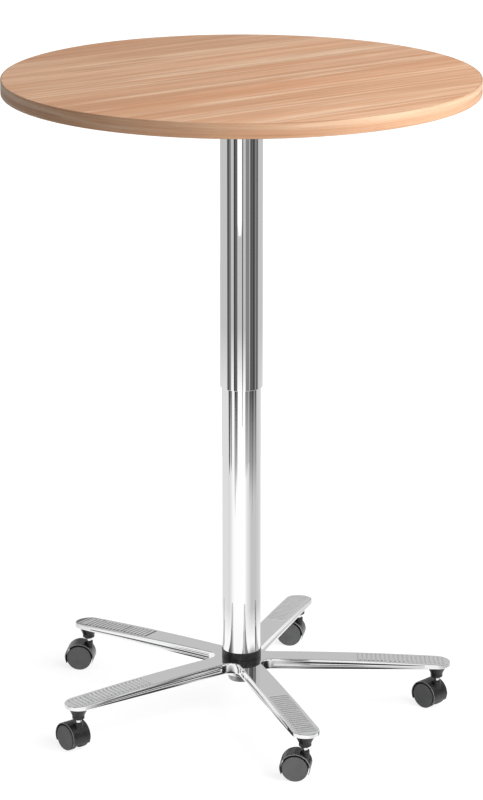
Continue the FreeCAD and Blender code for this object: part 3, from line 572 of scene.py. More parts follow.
@dataclass(frozen=True)
class DecorFinish:
    """Wood decor under a satin film: bands of tone with finer and finer streaks laid over them."""

    name: str
    path: GrainPath
    tone: float = 1.0
    backing: Color | None = None
    grain_turn: float = math.radians(-36)
    roughness: float = 0.38
    haze: float = 0.1
    gloss: float = 0.25
    fibre_depth: float = 0.00006
    band_grain: Pair = (0.8, 8.0)
    band_detail: float = 2.0
    band_waver: float = 0.5
    bands: tuple[tuple[float, Color], ...] = (
        (0.28, DARK_GRAIN), (0.48, (0.790, 0.448, 0.262)), (0.66, (0.880, 0.535, 0.330)))
    lines: Streak = Streak(DARK_GRAIN, 1.0, 58.0, 5.0, 0.7, 0.51, 0.66, 0.60)
    redder: Streak = Streak((0.730, 0.310, 0.130), 0.9, 30.0, 3.0, 0.9, 0.53, 0.65, 0.52)
    paler: Streak = Streak((0.960, 0.690, 0.475), 1.3, 42.0, 4.0, 0.6, 0.51, 0.64, 0.66)
    threads: Streak = Streak(DARK_GRAIN, 2.6, 120.0, 6.0, 0.5, 0.52, 0.62, 0.72)
    fibres: Streak = Streak(DARK_GRAIN, 9.0, 420.0, 3.0, 0.3, 0.46, 0.74, 0.46)
    flecks: Streak = Streak((0.320, 0.145, 0.070), 70.0, 900.0, 1.0, 0.0, 0.66, 0.76, 0.35)

    def shade(self, color: Color) -> Color:
        """A colour at the finish's own tone; the edging's lower tone is painted shade on its upright face."""
        return tuple(channel * self.tone for channel in color)

    def grain(self, shader: Shader, along: float, across: float) -> bpy.types.NodeSocket:
        """Lays coordinates along the grain.

        Args:
            shader: The material's shader.
            along: How many streaks come to a metre along the grain.
            across: How many come to a metre across it.

        Returns:
            The vector socket.
        """
        if self.path is GrainPath.AROUND:
            return shader.coordinates((along, across, across), uv=True)
        return shader.coordinates((along, across, along), self.grain_turn)

    def material(self) -> bpy.types.Material:
        """Builds the material; the backing sheet shows where the second tone is 1.

        Returns:
            The material.
        """
        shader = Shader(self.name)
        tones = shader.noise(self.grain(shader, *self.band_grain), 1.0, self.band_detail, self.band_waver)
        color = shader.ramp(tones, [(place, self.shade(tone)) for place, tone in self.bands])
        values = {}
        for streak in (self.lines, self.redder, self.paler, self.threads, self.fibres, self.flecks):
            grain = self.grain(shader, streak.along, streak.across)
            values[streak] = shader.noise(grain, 1.0, streak.detail, streak.waver)
            full = (streak.share, streak.share, streak.share)
            veil = shader.ramp(values[streak], [(streak.start, (0.0, 0.0, 0.0)), (streak.end, full)])
            color = shader.over(veil, color, self.shade(streak.color))
        if self.backing:
            color = shader.over(shader.carried(SECOND_TONE), color, self.backing)
        fibres = values[self.fibres]
        shader.set(Base_Color=color, Specular_IOR_Level=self.gloss,
                   Roughness=shader.span(fibres, self.roughness, self.roughness + self.haze))
        shader.bump(fibres, self.fibre_depth)
        return shader.material


CHROME = MetalFinish("mirror_chrome", (0.935, 0.935, 0.937), 0.015, 0.02, 25.0)
# The aluminium's darker groove colour is painted shade in the grooves; the extra haze there makes them duller.
ALUMINIUM = MetalFinish("polished_aluminium", (0.905, 0.905, 0.91), 0.035, 0.05, 35.0,
                        groove_shade=(0.78, 0.78, 0.785))
BRIGHT_STEEL = MetalFinish("ground_steel", (0.62, 0.62, 0.61), 0.22, 0.1, 90.0, (1.0, 1.0, 8.0), 0.00002)
GREY_STEEL = MetalFinish("drawn_steel", (0.40, 0.40, 0.41), 0.28, 0.12, 70.0, (1.0, 1.0, 0.3), 0.00001)
STEM_STEEL = MetalFinish("stem_plating", (0.86, 0.86, 0.85), 0.08, 0.06, 120.0)
ZINC = MetalFinish("bright_zinc", (0.72, 0.72, 0.69), 0.2, 0.12, 180.0)
# The black moulding's lighter second colour is a painted highlight along the castor hoods' rims.
BLACK_PLASTIC = PlasticFinish("black_moulding", (0.013, 0.013, 0.014), (0.020, 0.020, 0.021),
                              0.22, 0.1, 1800.0, 0.00003, (0.20, 0.20, 0.202), 0.36)
# The wheel's near-black second colour on the tread and inner face is painted shade in the gap under the hood.
WHEEL_PLASTIC = PlasticFinish("wheel_moulding", (0.086, 0.087, 0.089), (0.108, 0.109, 0.111),
                              0.5, 0.12, 2200.0, 0.00005, (0.008, 0.008, 0.008))
SLIDE_PLASTIC = PlasticFinish("natural_acetal", (0.62, 0.61, 0.57), (0.66, 0.65, 0.61),
                              0.4, 0.1, 900.0, 0.00002)
BLACK_COAT = PlasticFinish("black_powder_coat", (0.021, 0.021, 0.022), (0.03, 0.03, 0.031),
                           0.42, 0.1, 1300.0, 0.00008)
RUBBER = PlasticFinish("buffer_rubber", (0.018, 0.018, 0.018), (0.03, 0.03, 0.03), 0.7, 0.15, 800.0, 0.00006)
DECOR_TOP = DecorFinish("decor_board", GrainPath.PLANK, backing=(0.55, 0.55, 0.545))
# The edging's lower tone is painted shade on the upright edge, a darker copy of the board's decor.
DECOR_EDGE = DecorFinish("decor_edging", GrainPath.AROUND, tone=0.62)

FINISHES = {
    Slot.DECOR_TOP: DECOR_TOP, Slot.DECOR_EDGE: DECOR_EDGE, Slot.BLACK_STEEL: BLACK_COAT, Slot.ZINC: ZINC,
    Slot.CHROME: CHROME, Slot.BLACK_PLASTIC: BLACK_PLASTIC, Slot.SLIDE_PLASTIC: SLIDE_PLASTIC,
    Slot.GREY_STEEL: GREY_STEEL, Slot.BRIGHT_STEEL: BRIGHT_STEEL, Slot.STEM_STEEL: STEM_STEEL,
    Slot.RUBBER: RUBBER, Slot.ALUMINIUM: ALUMINIUM, Slot.WHEEL_PLASTIC: WHEEL_PLASTIC,
}


class Paintshop:
    """Keeps one material per slot and dresses pieces with it."""

    def __init__(self) -> None:
        """Builds every slot's material."""
        self.materials = {slot: finish.material() for slot, finish in FINISHES.items()}

    def dress_nodes(self) -> None:
        """Gives every node of the frame the material of its slot."""
        for entry in frame["record"]["subparts"]:
            for place in frame["nodes"][entry["node"]].material_slots:
                place.material = self.materials[Slot(entry["material_slot"])]

    def deliver(self, name: str, mesh: bpy.types.Mesh, body: str, slot: Slot,
                nodes: Sequence[str]) -> bpy.types.Object:
        """Puts a finished mesh into the scene as a piece.

        Args:
            name: The piece's name.
            mesh: Its mesh, in place.
            body: The body that it rides on.
            slot: The material slot that it takes its finish from.
            nodes: The nodes that it stands for.

        Returns:
            The piece.
        """
        piece = put(name, mesh)
        mesh.materials.clear()
        mesh.materials.append(self.materials[slot])
        for polygon in mesh.polygons:
            polygon.material_index = 0
            polygon.use_smooth = True
        mesh.set_sharp_from_angle(angle=SHARP_ANGLE)
        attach(piece, body)
        if nodes:
            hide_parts(*nodes)
        LOG.info("%s: %d faces, on %s", name, len(mesh.polygons), body)
        return piece


# ------------------------------------------------------------------ drawing meshes

@dataclass(frozen=True)
class Corner:
    """A corner of a turned profile: radius, height, and the round that takes its edge off."""

    radius: float
    height: float
    round: float = 0.0

    @property
    def spot(self) -> Vector:
        """The corner as a flat vector."""
        return Vector((self.radius, self.height))


def soften(corners: Sequence[Corner], steps: int) -> list[Pair]:
    """Draws a closed profile with its corners rounded.

    Args:
        corners: The profile's corners, in order.
        steps: The straight steps that make each round.

    Returns:
        Radius and height of each point.
    """
    points: list[Pair] = []
    for index, corner in enumerate(corners):
        here = corner.spot
        if corner.round <= 0:
            points.append(tuple(here))
            continue
        before = (corners[index - 1].spot - here).normalized()
        after = (corners[(index + 1) % len(corners)].spot - here).normalized()
        half = before.angle(after) / 2
        centre = here + (before + after).normalized() * (corner.round / math.sin(half))
        start = here + before * (corner.round / math.tan(half)) - centre
        finish = here + after * (corner.round / math.tan(half)) - centre
        sweep = start.angle(finish)
        for step in range(steps + 1):
            share = step / steps
            arm = start * math.sin((1 - share) * sweep) + finish * math.sin(share * sweep)
            points.append(tuple(centre + arm / math.sin(sweep)))
    return points


def braced(points: Sequence[Pair]) -> list[Pair]:
    """Adds points close to both ends of each long run of a closed profile.

    Smooth shading then bends only there, and the run itself mirrors as a straight one.

    Args:
        points: The profile's points.

    Returns:
        The points with the added ones.
    """
    made: list[Pair] = []
    for here, following in zip(points, [*points[1:], points[0]]):
        start, end = Vector(here), Vector(following)
        length = (end - start).length
        made.append(tuple(start))
        if length > 5 * BRACE:
            made += [tuple(start.lerp(end, BRACE / length)), tuple(end.lerp(start, BRACE / length))]
    return made


class Draft:
    """A mesh under construction."""

    def __init__(self) -> None:
        """Starts with no points and no faces."""
        self.points: list[Vector] = []
        self.faces: list[tuple[int, ...]] = []

    def ring(self, points: Sequence[Vector]) -> list[int]:
        """Adds a ring of points.

        Args:
            points: The points, in order.

        Returns:
            Their numbers.
        """
        first = len(self.points)
        self.points.extend(Vector(point) for point in points)
        return list(range(first, len(self.points)))

    def join(self, lower: Sequence[int], upper: Sequence[int], around: bool = True) -> None:
        """Joins two rings of equal length by a band of faces.

        Args:
            lower: The numbers of one ring's points.
            upper: The numbers of the other's.
            around: Whether the rings close on themselves.
        """
        count = len(lower)
        for step in range(count if around else count - 1):
            following = (step + 1) % count
            self.faces.append((lower[step], lower[following], upper[following], upper[step]))

    def loft(self, rings: Sequence[Sequence[Vector]], around: bool = True, ends: bool = False) -> None:
        """Joins rings of equal length, each to the next.

        Args:
            rings: The rings' points.
            around: Whether each ring closes on itself.
            ends: Whether the first and the last ring are filled with a face.
        """
        made = [self.ring(ring) for ring in rings]
        for lower, upper in zip(made, made[1:]):
            self.join(lower, upper, around)
        if ends:
            self.faces += [tuple(made[0]), tuple(made[-1])]

    def drawn(self, name: str) -> bpy.types.Mesh:
        """Gives the mesh as it was drawn, with its points in their order.

        Args:
            name: The mesh's name.

        Returns:
            The mesh.
        """
        mesh = bpy.data.meshes.new(name)
        mesh.from_pydata([tuple(point) for point in self.points], [], self.faces)
        return mesh

    def mesh(self, name: str) -> bpy.types.Mesh:
        """The mesh with what touches welded and its faces turned outwards."""
        return outward(self.drawn(name))


def lofted(name: str, rings: Sequence[Sequence[Vector]]) -> bpy.types.Mesh:
    """Makes a closed piece through rings of equal length, with a face on each end.

    Args:
        name: The mesh's name.
        rings: The rings' points.

    Returns:
        The mesh.
    """
    draft = Draft()
    draft.loft(rings, ends=True)
    return draft.mesh(name)


def turned(name: str, corners: Sequence[Corner], steps: int = 96, round_steps: int = 4) -> bpy.types.Mesh:
    """Makes a turned piece about Z.

    Args:
        name: The mesh's name.
        corners: Its closed profile.
        steps: The steps round the axis.
        round_steps: The steps in each rounded corner.

    Returns:
        The mesh.
    """
    draft = Draft()
    profile = braced(soften(corners, round_steps))
    angles = [FULL_TURN * step / steps for step in range(steps)]
    rings = [draft.ring([polar(radius, turn, height) for turn in angles]) for radius, height in profile]
    for index, ring in enumerate(rings):
        following = (index + 1) % len(rings)
        if max(profile[index][0], profile[following][0]) > WELD:
            draft.join(ring, rings[following])
    return draft.mesh(name)


def sleeve(inner: float, outer: float, bottom: float, top: float, edge: float) -> list[Corner]:
    """The profile of a sleeve with its four edges taken off."""
    return [Corner(inner, bottom, edge), Corner(outer, bottom, edge),
            Corner(outer, top, edge), Corner(inner, top, edge)]


def combined(first: bpy.types.Mesh, second: bpy.types.Mesh, operation: Boolean) -> bpy.types.Mesh:
    """Makes one mesh of two closed ones.

    Args:
        first: The mesh that is worked on.
        second: The other one.
        operation: How it works on the first.

    Returns:
        The new mesh.
    """
    base, tool = put("base", first), put("tool", second)
    modifier = base.modifiers.new("boolean", "BOOLEAN")
    modifier.operation = operation.value
    modifier.solver = "EXACT"
    modifier.object = tool
    mesh = plain_mesh(base)
    bpy.data.objects.remove(tool)
    return mesh


def moved(mesh: bpy.types.Mesh, place: Matrix) -> bpy.types.Mesh:
    """Sets a copy of a mesh in another place.

    Args:
        mesh: The mesh, which stays as it is.
        place: Where the copy goes.

    Returns:
        The copy.
    """
    copy = mesh.copy()
    copy.transform(place)
    return copy


def mark(mesh: bpy.types.Mesh, test: Callable[[Vector], bool]) -> None:
    """Gives the second tone to the faces whose centre passes a test."""
    marks = [float(test(polygon.center)) for polygon in mesh.polygons]
    mesh.attributes.new(SECOND_TONE, "FLOAT", "FACE").data.foreach_set("value", marks)


# ------------------------------------------------------------------ round top

@dataclass
class RoundTop:
    """The decor board with its edging strip, and the plate and screws under it."""

    steps: int = 256
    hairline: float = 0.00012
    band_round: float = 0.0015
    plate_edge: float = 0.0008
    plate_corner: float = 0.018
    plate_corner_steps: int = 10
    screw_head_radius: float = 0.0046
    screw_head_height: float = 0.0028
    screw_head_round: float = 0.0003
    screw_shank_radius: float = 0.0022
    screw_length: float = 0.020
    screw_rise: float = 0.0001
    recess_radius: float = 0.0016
    recess_depth: float = 0.0018
    recess_round: float = 0.0002
    screw_spacing: float = 0.190

    def board(self) -> bpy.types.Mesh:
        """Makes the round board, with a hairline chamfer at the edging and a plain backing below.

        Returns:
            The mesh.
        """
        low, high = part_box("tabletop")
        mesh = turned("board", [
            Corner(0.0, low.z), Corner(high.x, low.z, self.hairline),
            Corner(high.x, high.z, self.hairline), Corner(0.0, high.z)], self.steps, round_steps=2)
        mark(mesh, lambda centre: centre.z < low.z + WELD)
        return mesh

    def edging(self) -> bpy.types.Mesh:
        """Makes the edging strip, with a UV map that runs along it in metres.

        Returns:
            The mesh.
        """
        low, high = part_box("edge_band")
        inner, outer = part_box("tabletop")[1].x + FIT, high.x
        mesh = turned("edging", [
            Corner(inner, low.z, self.hairline), Corner(outer, low.z, self.band_round),
            Corner(outer, high.z, self.band_round), Corner(inner, high.z, self.hairline)],
            self.steps, round_steps=6)
        layer = mesh.uv_layers.new(name="strip")
        for polygon in mesh.polygons:
            middle = math.atan2(polygon.center.y, polygon.center.x)
            for loop in polygon.loop_indices:
                spot = mesh.vertices[mesh.loops[loop].vertex_index].co
                turn = math.atan2(spot.y, spot.x)
                turn += FULL_TURN * round((middle - turn) / FULL_TURN)
                layer.data[loop].uv = (turn * outer, spot.z + math.hypot(spot.x, spot.y))
        return mesh

    def screw(self) -> bpy.types.Mesh:
        """Makes one flush screw with a socket in its head, head down at the origin.

        Returns:
            The mesh.
        """
        head, shank, recess = self.screw_head_radius, self.screw_shank_radius, self.recess_radius
        return turned("screw", [
            Corner(0.0, self.recess_depth), Corner(recess, self.recess_depth),
            Corner(recess, 0.0, self.recess_round), Corner(head, 0.0, self.screw_head_round),
            Corner(head, self.screw_head_height), Corner(shank, self.screw_head_height),
            Corner(shank, self.screw_length), Corner(0.0, self.screw_length)], steps=24, round_steps=2)

    def plate(self) -> bpy.types.Mesh:
        """Makes the mounting plate, a rounded square with softened edges.

        Returns:
            The mesh.
        """
        low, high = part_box("mounting_plate")
        edge, ease = self.plate_edge, self.plate_edge * EASE
        centre = high.x - self.plate_corner
        rings = []
        for height, inset in ((low.z, edge), (low.z + ease, ease), (low.z + edge, 0.0),
                              (high.z - edge, 0.0), (high.z - ease, ease), (high.z, edge)):
            radius = self.plate_corner - inset
            ring = []
            for side in range(4):
                middle = QUARTER_TURN * side + QUARTER_TURN / 2
                for step in range(self.plate_corner_steps + 1):
                    turn = QUARTER_TURN * (side + step / self.plate_corner_steps)
                    across = math.copysign(centre, math.cos(middle)) + radius * math.cos(turn)
                    along = math.copysign(centre, math.sin(middle)) + radius * math.sin(turn)
                    ring.append(Vector((across, along, height)))
            rings.append(ring)
        return lofted("plate", rings)

    def build(self, shop: Paintshop) -> None:
        """Builds and dresses the top.

        Args:
            shop: Where the pieces are dressed.
        """
        shop.deliver("decor_board", self.board(), Body.TOP, Slot.DECOR_TOP, ["tabletop"])
        shop.deliver("edging_strip", self.edging(), Body.TOP, Slot.DECOR_EDGE, ["edge_band"])
        shop.deliver("top_plate", self.plate(), Body.TOP, Slot.BLACK_STEEL, ["mounting_plate"])
        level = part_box("plate_screws")[0].z - self.screw_rise
        screws = frame_tree().build("screws", self.screw(), shop.materials[Slot.ZINC],
                                    Spacing=self.screw_spacing, Level=level)
        shop.deliver("plate_screw_set", screws, Body.TOP, Slot.ZINC, ["plate_screws"])


# ------------------------------------------------------------------ column

@dataclass
class Column:
    """The two chrome tubes, the collar at their foot and the stand tube below the hub."""

    steps: int = 160
    tube_wall: float = 0.0015
    lower_wall: float = 0.002
    tube_edge: float = 0.0004
    slot_width: float = 0.012
    slot_height: float = 0.016
    slot_reach: float = 0.012
    collar_rounds: Triple = (0.0001, 0.0002, 0.0007)
    stand_wall: float = 0.002
    stand_edge: float = 0.0003
    stand_round: float = 0.004
    foot_radius: float = 0.023
    taper_height: float = 0.080
    recess_radius: float = 0.009
    recess_edge: float = 0.0008
    recess_depth: float = 0.008
    recess_floor: float = 0.005
    rod_hole: float = 0.00405

    def tube(self, node: str, wall: float) -> bpy.types.Mesh:
        """Makes one of the chrome tubes.

        Args:
            node: The node that it stands for.
            wall: How thick its wall is.

        Returns:
            The mesh.
        """
        low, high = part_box(node)
        return turned(node, sleeve(high.x - wall, high.x, low.z, high.z, self.tube_edge), self.steps)

    def upper_tube(self) -> bpy.types.Mesh:
        """Makes the outer tube, with the lever's slot at its head.

        Returns:
            The mesh.
        """
        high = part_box("upper_tube")[1]
        work = bmesh.new()
        bmesh.ops.create_cube(work, size=1.0)
        slot = bpy.data.meshes.new("slot")
        work.to_mesh(slot)
        work.free()
        slot.transform(Matrix.Translation((high.x, 0.0, high.z)) @ Matrix.Diagonal(
            (self.slot_reach, self.slot_width, self.slot_height * 2, 1.0)))
        return combined(self.tube("upper_tube", self.tube_wall), slot, Boolean.DIFFERENCE)

    def collar(self) -> bpy.types.Mesh:
        """Makes the black ring at the foot of the column, with a soft top edge.

        Returns:
            The mesh.
        """
        low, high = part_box("base_collar")
        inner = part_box("lower_tube")[1].x + FIT
        slight, small, soft = self.collar_rounds
        return turned("collar", [
            Corner(inner, low.z, slight), Corner(high.x, low.z, small),
            Corner(high.x, high.z, soft), Corner(inner, high.z, small)], self.steps, round_steps=5)

    def stand_tube(self) -> bpy.types.Mesh:
        """Makes the tapered tube, with the rounded and recessed foot that shows below the hub.

        Returns:
            The mesh.
        """
        low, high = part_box("stand_tube")
        outer, inner = high.x, high.x - self.stand_wall
        shoulder, roof = low.z + self.taper_height, low.z + self.recess_depth
        floor = roof + self.recess_floor
        return turned("stand_tube", [
            Corner(self.recess_radius, low.z, self.recess_edge),
            Corner(self.foot_radius, low.z, self.stand_round),
            Corner(outer, shoulder), Corner(outer, high.z, self.stand_edge),
            Corner(inner, high.z, self.stand_edge), Corner(inner, shoulder),
            Corner(self.foot_radius - self.stand_wall, floor), Corner(self.rod_hole, floor),
            Corner(self.rod_hole, roof), Corner(self.recess_radius, roof)], steps=96, round_steps=5)

    def build(self, shop: Paintshop) -> None:
        """Builds and dresses the column.

        Args:
            shop: Where the pieces are dressed.
        """
        lower_tube = self.tube("lower_tube", self.lower_wall)
        shop.deliver("outer_chrome_tube", self.upper_tube(), Body.TOP, Slot.CHROME, ["upper_tube"])
        shop.deliver("inner_chrome_tube", lower_tube, Body.BASE, Slot.CHROME, ["lower_tube"])
        shop.deliver("foot_collar", self.collar(), Body.BASE, Slot.BLACK_PLASTIC, ["base_collar"])
        shop.deliver("stand_tube_shell", self.stand_tube(), Body.BASE, Slot.GREY_STEEL, ["stand_tube"])


# ------------------------------------------------------------------ release lever

@dataclass
class ReleaseLever:
    """The cranked rod under the top and its ribbed grip."""

    rod_radius: float = 0.0031
    rod_steps: int = 20
    bend_radius: float = 0.012
    bend_steps: int = 6
    crank_start: float = 0.080
    crank_end: float = 0.105
    drop: float = 0.014
    grip_steps: int = 40
    grip_radius: float = 0.0066
    grip_mouth: float = 0.0003
    grip_rounds: Pair = (0.0025, 0.003)
    bore_depth: float = 0.081
    rib_count: int = 14
    rib_pitch: float = 0.005
    rib_start: float = 0.012
    rib_width: float = 0.0022
    rib_sunk: float = 0.0004
    rib_rise: float = 0.00035
    rib_round: float = 0.0003

    def path(self) -> list[Vector]:
        """Draws the rod's centre line, with rounded bends.

        Returns:
            Its points.
        """
        level = joint_place("lever_lift")[2]
        low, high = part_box("lever_arm")
        corners = [Vector((low.x, level)), Vector((self.crank_start, level)),
                   Vector((self.crank_end, level - self.drop)), Vector((high.x, level - self.drop))]
        points = [corners[0]]
        for before, here, after in zip(corners, corners[1:], corners[2:]):
            back, ahead = (before - here).normalized(), (after - here).normalized()
            reach = self.bend_radius * math.tan((math.pi - back.angle(ahead)) / 2)
            for step in range(self.bend_steps + 1):
                share = step / self.bend_steps
                points.append(here + back * reach * (1 - share) ** 2 + ahead * reach * share ** 2)
        points.append(corners[-1])
        return [Vector((point.x, 0.0, point.y)) for point in points]

    def rod(self) -> bpy.types.Mesh:
        """Makes the round rod along the centre line.

        Returns:
            The mesh.
        """
        path = self.path()
        side = Vector((0.0, 1.0, 0.0))
        turns = [FULL_TURN * step / self.rod_steps for step in range(self.rod_steps)]
        rings = []
        for index, spot in enumerate(path):
            ahead = path[min(index + 1, len(path) - 1)] - path[max(index - 1, 0)]
            up = side.cross(ahead).normalized()
            rings.append([spot + (side * math.cos(turn) + up * math.sin(turn)) * self.rod_radius
                          for turn in turns])
        return lofted("rod", rings)

    def grip(self, shop: Paintshop) -> bpy.types.Mesh:
        """Makes the grip, a smooth handle with a row of ribs round it.

        Args:
            shop: Where the ribs' material is kept.

        Returns:
            The mesh.
        """
        low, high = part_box("lever_grip")
        level, length = (low.z + high.z) / 2, high.x - low.x
        radius, near, far = self.grip_radius, *self.grip_rounds
        handle = turned("handle", [
            Corner(self.rod_radius, 0.0, self.grip_mouth), Corner(radius, 0.0, near),
            Corner(radius, length, far), Corner(0.0, length),
            Corner(0.0, self.bore_depth), Corner(self.rod_radius, self.bore_depth)], self.grip_steps)
        profile = sleeve(radius - self.rib_sunk, radius + self.rib_rise, 0.0, self.rib_width, self.rib_round)
        rib = turned("rib", profile, self.grip_steps, round_steps=2)
        for mesh, start in ((handle, low.x), (rib, low.x + self.rib_start)):
            mesh.transform(Matrix.Translation((start, 0.0, level)) @ Matrix.Rotation(QUARTER_TURN, 4, "Y"))
        ribs = row_tree().build("ribs", rib, shop.materials[Slot.BLACK_PLASTIC],
                                Count=self.rib_count, Pitch=self.rib_pitch)
        return combined(handle, ribs, Boolean.UNION)

    def build(self, shop: Paintshop) -> None:
        """Builds and dresses the lever.

        Args:
            shop: Where the pieces are dressed.
        """
        shop.deliver("lever_rod", self.rod(), Body.LEVER, Slot.BRIGHT_STEEL, ["lever_arm"])
        shop.deliver("ribbed_grip", self.grip(shop), Body.LEVER, Slot.BLACK_PLASTIC, ["lever_grip"])


# ------------------------------------------------------------------ star base

@dataclass(frozen=True)
class Station:
    """A point of the arm's outline: where it is, and which way is out."""

    spot: Vector
    out: Vector


@dataclass
class StarBase:
    """The polished casting: crowned arms with rounded tips, fluted flanks, grooves and ribbed undersides."""

    arms: int = 5
    root_half: float = 0.0195
    web_radius: float = 0.018
    crown_radius: float = 5.6
    top_round: float = 0.0012
    bottom_round: float = 0.0008
    wall: float = 0.0036
    step_width: float = 0.0003
    arm_bottom: float = 0.079
    bore_radius: float = 0.03305
    seat_depth: float = 0.004
    taper_radius: float = 0.0235
    taper_flare: float = 0.0008
    boss_radius: float = 0.031
    flute_start: float = 0.056
    flute_end: float = 0.318
    flute_radii: Pair = (0.0075, 0.004)
    flute_depths: Pair = (0.0026, 0.0008)
    flute_steps: int = 10
    cell_start: float = 0.050
    cell_end: float = 0.316
    cell_count: int = 4
    cell_rib: float = 0.003
    groove_count: int = 20
    groove_pitch: float = 0.0078
    groove_last: float = 0.351
    groove_half_width: float = 0.0020
    groove_slope: float = 0.0013
    groove_half_length: float = 0.0165
    groove_depth: float = 0.0005
    dull_depths: Pair = (0.5, 1.2)
    dull_width: float = 0.9
    column_steps: tuple[float, ...] = (0.0, 0.34, 0.67, 1.0)
    inner_limit: float = 0.9
    outer_limit: float = 0.93
    support: float = 0.975
    least_roof: float = 0.3
    web_steps: int = 8
    tip_steps: int = 14
    arm_steps: int = 16
    arm_pitch: float = 0.009

    def __post_init__(self) -> None:
        """Reads the casting's reach and heights from the frame and works out the outline's circles."""
        low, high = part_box("star_base")
        self.hub_top, self.hub_bottom = high.z, low.z
        self.tip = Vector((joint_place("castor_swivel_1")[0], 0.0))
        self.tip_radius = high.x - self.tip.x
        self.half_step = math.pi / self.arms
        reach = (self.root_half + self.web_radius) / math.sin(self.half_step)
        self.web = Vector((math.cos(self.half_step), math.sin(self.half_step))) * reach
        self.valley = Vector((math.cos(self.half_step), math.sin(self.half_step))) * (reach - self.web_radius)
        span = self.tip - self.web
        rise = math.asin((self.web_radius + self.tip_radius) / span.length) - math.atan2(self.web.y, span.x)
        self.flank_out = Vector((-math.sin(rise), math.cos(rise)))
        self.web_end = self.web - self.flank_out * self.web_radius
        self.tip_start = self.tip + self.flank_out * self.tip_radius

    def crown(self, spot: Vector) -> float:
        """The height of the crowned top over a place."""
        return self.hub_top - self.crown_radius + math.sqrt(self.crown_radius ** 2 - spot.length_squared)

    def station(self, along: float) -> Station:
        """Finds the outline's point at a distance along the arm.

        Args:
            along: The distance.

        Returns:
            The point.
        """
        if along <= self.web_end.x:
            depth = math.sqrt(max(self.web_radius ** 2 - (along - self.web.x) ** 2, 0.0))
            spot = Vector((along, self.web.y - depth))
            return Station(spot, (self.web - spot).normalized())
        if along < self.tip_start.x:
            share = (along - self.web_end.x) / (self.tip_start.x - self.web_end.x)
            return Station(self.web_end.lerp(self.tip_start, share), self.flank_out)
        width = math.sqrt(max(self.tip_radius ** 2 - (along - self.tip.x) ** 2, 0.0))
        spot = Vector((along, width))
        return Station(spot, (spot - self.tip).normalized())

    def cells(self) -> list[Pair]:
        """Finds where each cell under the arm starts and ends.

        Returns:
            Both distances along the arm, for each.
        """
        pitch = (self.cell_end - self.cell_start + self.cell_rib) / self.cell_count
        starts = [self.cell_start + pitch * index for index in range(self.cell_count)]
        return [(start, start + pitch - self.cell_rib) for start in starts]

    def grooves(self) -> list[Pair]:
        """Finds where each anti-slip groove starts and ends.

        Returns:
            Both distances along the arm, for each.
        """
        middles = [self.groove_last - self.groove_pitch * index for index in range(self.groove_count)]
        half = self.groove_half_width - self.groove_slope / 2
        return [(middle - half, middle + half) for middle in middles]

    def places(self) -> list[float]:
        """Finds every distance along the arm at which a section is drawn.

        Returns:
            The distances, in rising order.
        """
        found = [self.valley.x, self.web_end.x, self.tip_start.x, self.tip.x + self.tip_radius]
        web_turn = math.atan2(self.web.y - self.valley.y, self.web.x - self.valley.x)
        for step in range(1, self.web_steps):
            turn = web_turn + (QUARTER_TURN - web_turn) * step / self.web_steps
            found.append(self.web.x - self.web_radius * math.cos(turn))
        found += [self.tip.x + self.tip_radius * math.sin(turn) for turn in quarter(self.tip_steps)[1:-1]]
        for stretch in [*self.cells(), (self.flute_start, self.flute_end)]:
            found += [end + side * self.step_width / 2 for end in stretch for side in (-1, 1)]
        for groove in self.grooves():
            found += [end + side * self.groove_slope / 2 for end in groove for side in (-1, 0, 1)]
        found += [self.web_end.x + self.arm_pitch * step for step in range(1, self.arm_steps + 1)]
        return sorted(set(round(value, 6) for value in found))

    @staticmethod
    def inside(along: float, stretches: Sequence[Pair]) -> bool:
        """Whether a place lies in one of the stretches."""
        return any(start < along < end for start, end in stretches)

    def inside_share(self, along: float, groove: Pair) -> float:
        """How deep a place lies in a groove with sloping sides: 0 outside, 1 on its floor."""
        start, end = groove
        return min(max(min(along - start, end - along) / self.groove_slope + 0.5, 0.0), 1.0)

    def in_groove_shade(self, centre: Vector) -> bool:
        """Tells whether a face lies low in a groove, where the metal is painted darker as shade in the groove and
        its gloss is duller.

        Args:
            centre: The face's centre.

        Returns:
            Whether it does.
        """
        least, most = self.dull_depths
        sunk = (self.crown(centre.xy) - centre.z) / self.groove_depth
        edge = self.station(centre.x).spot.y
        grooved = centre.x < self.groove_last + self.groove_pitch / 2
        return grooved and least < sunk < most and abs(centre.y) < self.dull_width * edge

    def columns(self, half: float, inner: float) -> list[float]:
        """Spaces points across half of the arm, with two close ones at the inner width.

        Args:
            half: The half width.
            inner: The inner width, measured from the middle.

        Returns:
            Their distances from the middle.
        """
        inner = min(inner, half * self.inner_limit)
        steps = [inner * share for share in self.column_steps]
        return [*steps, min(inner + self.step_width, half * self.outer_limit), half * self.support, half]

    def flute(self, along: float) -> Triple:
        """Sizes the flute at a distance along the arm.

        Args:
            along: The distance.

        Returns:
            Its radius, its depth (0 beyond its ends) and its half height.
        """
        share = rise_share(along, self.flute_start, self.flute_end)
        radius, depth = between(self.flute_radii, share), between(self.flute_depths, share)
        height = math.sqrt(radius ** 2 - (radius - depth) ** 2)
        return radius, depth if self.flute_start < along < self.flute_end else 0.0, height

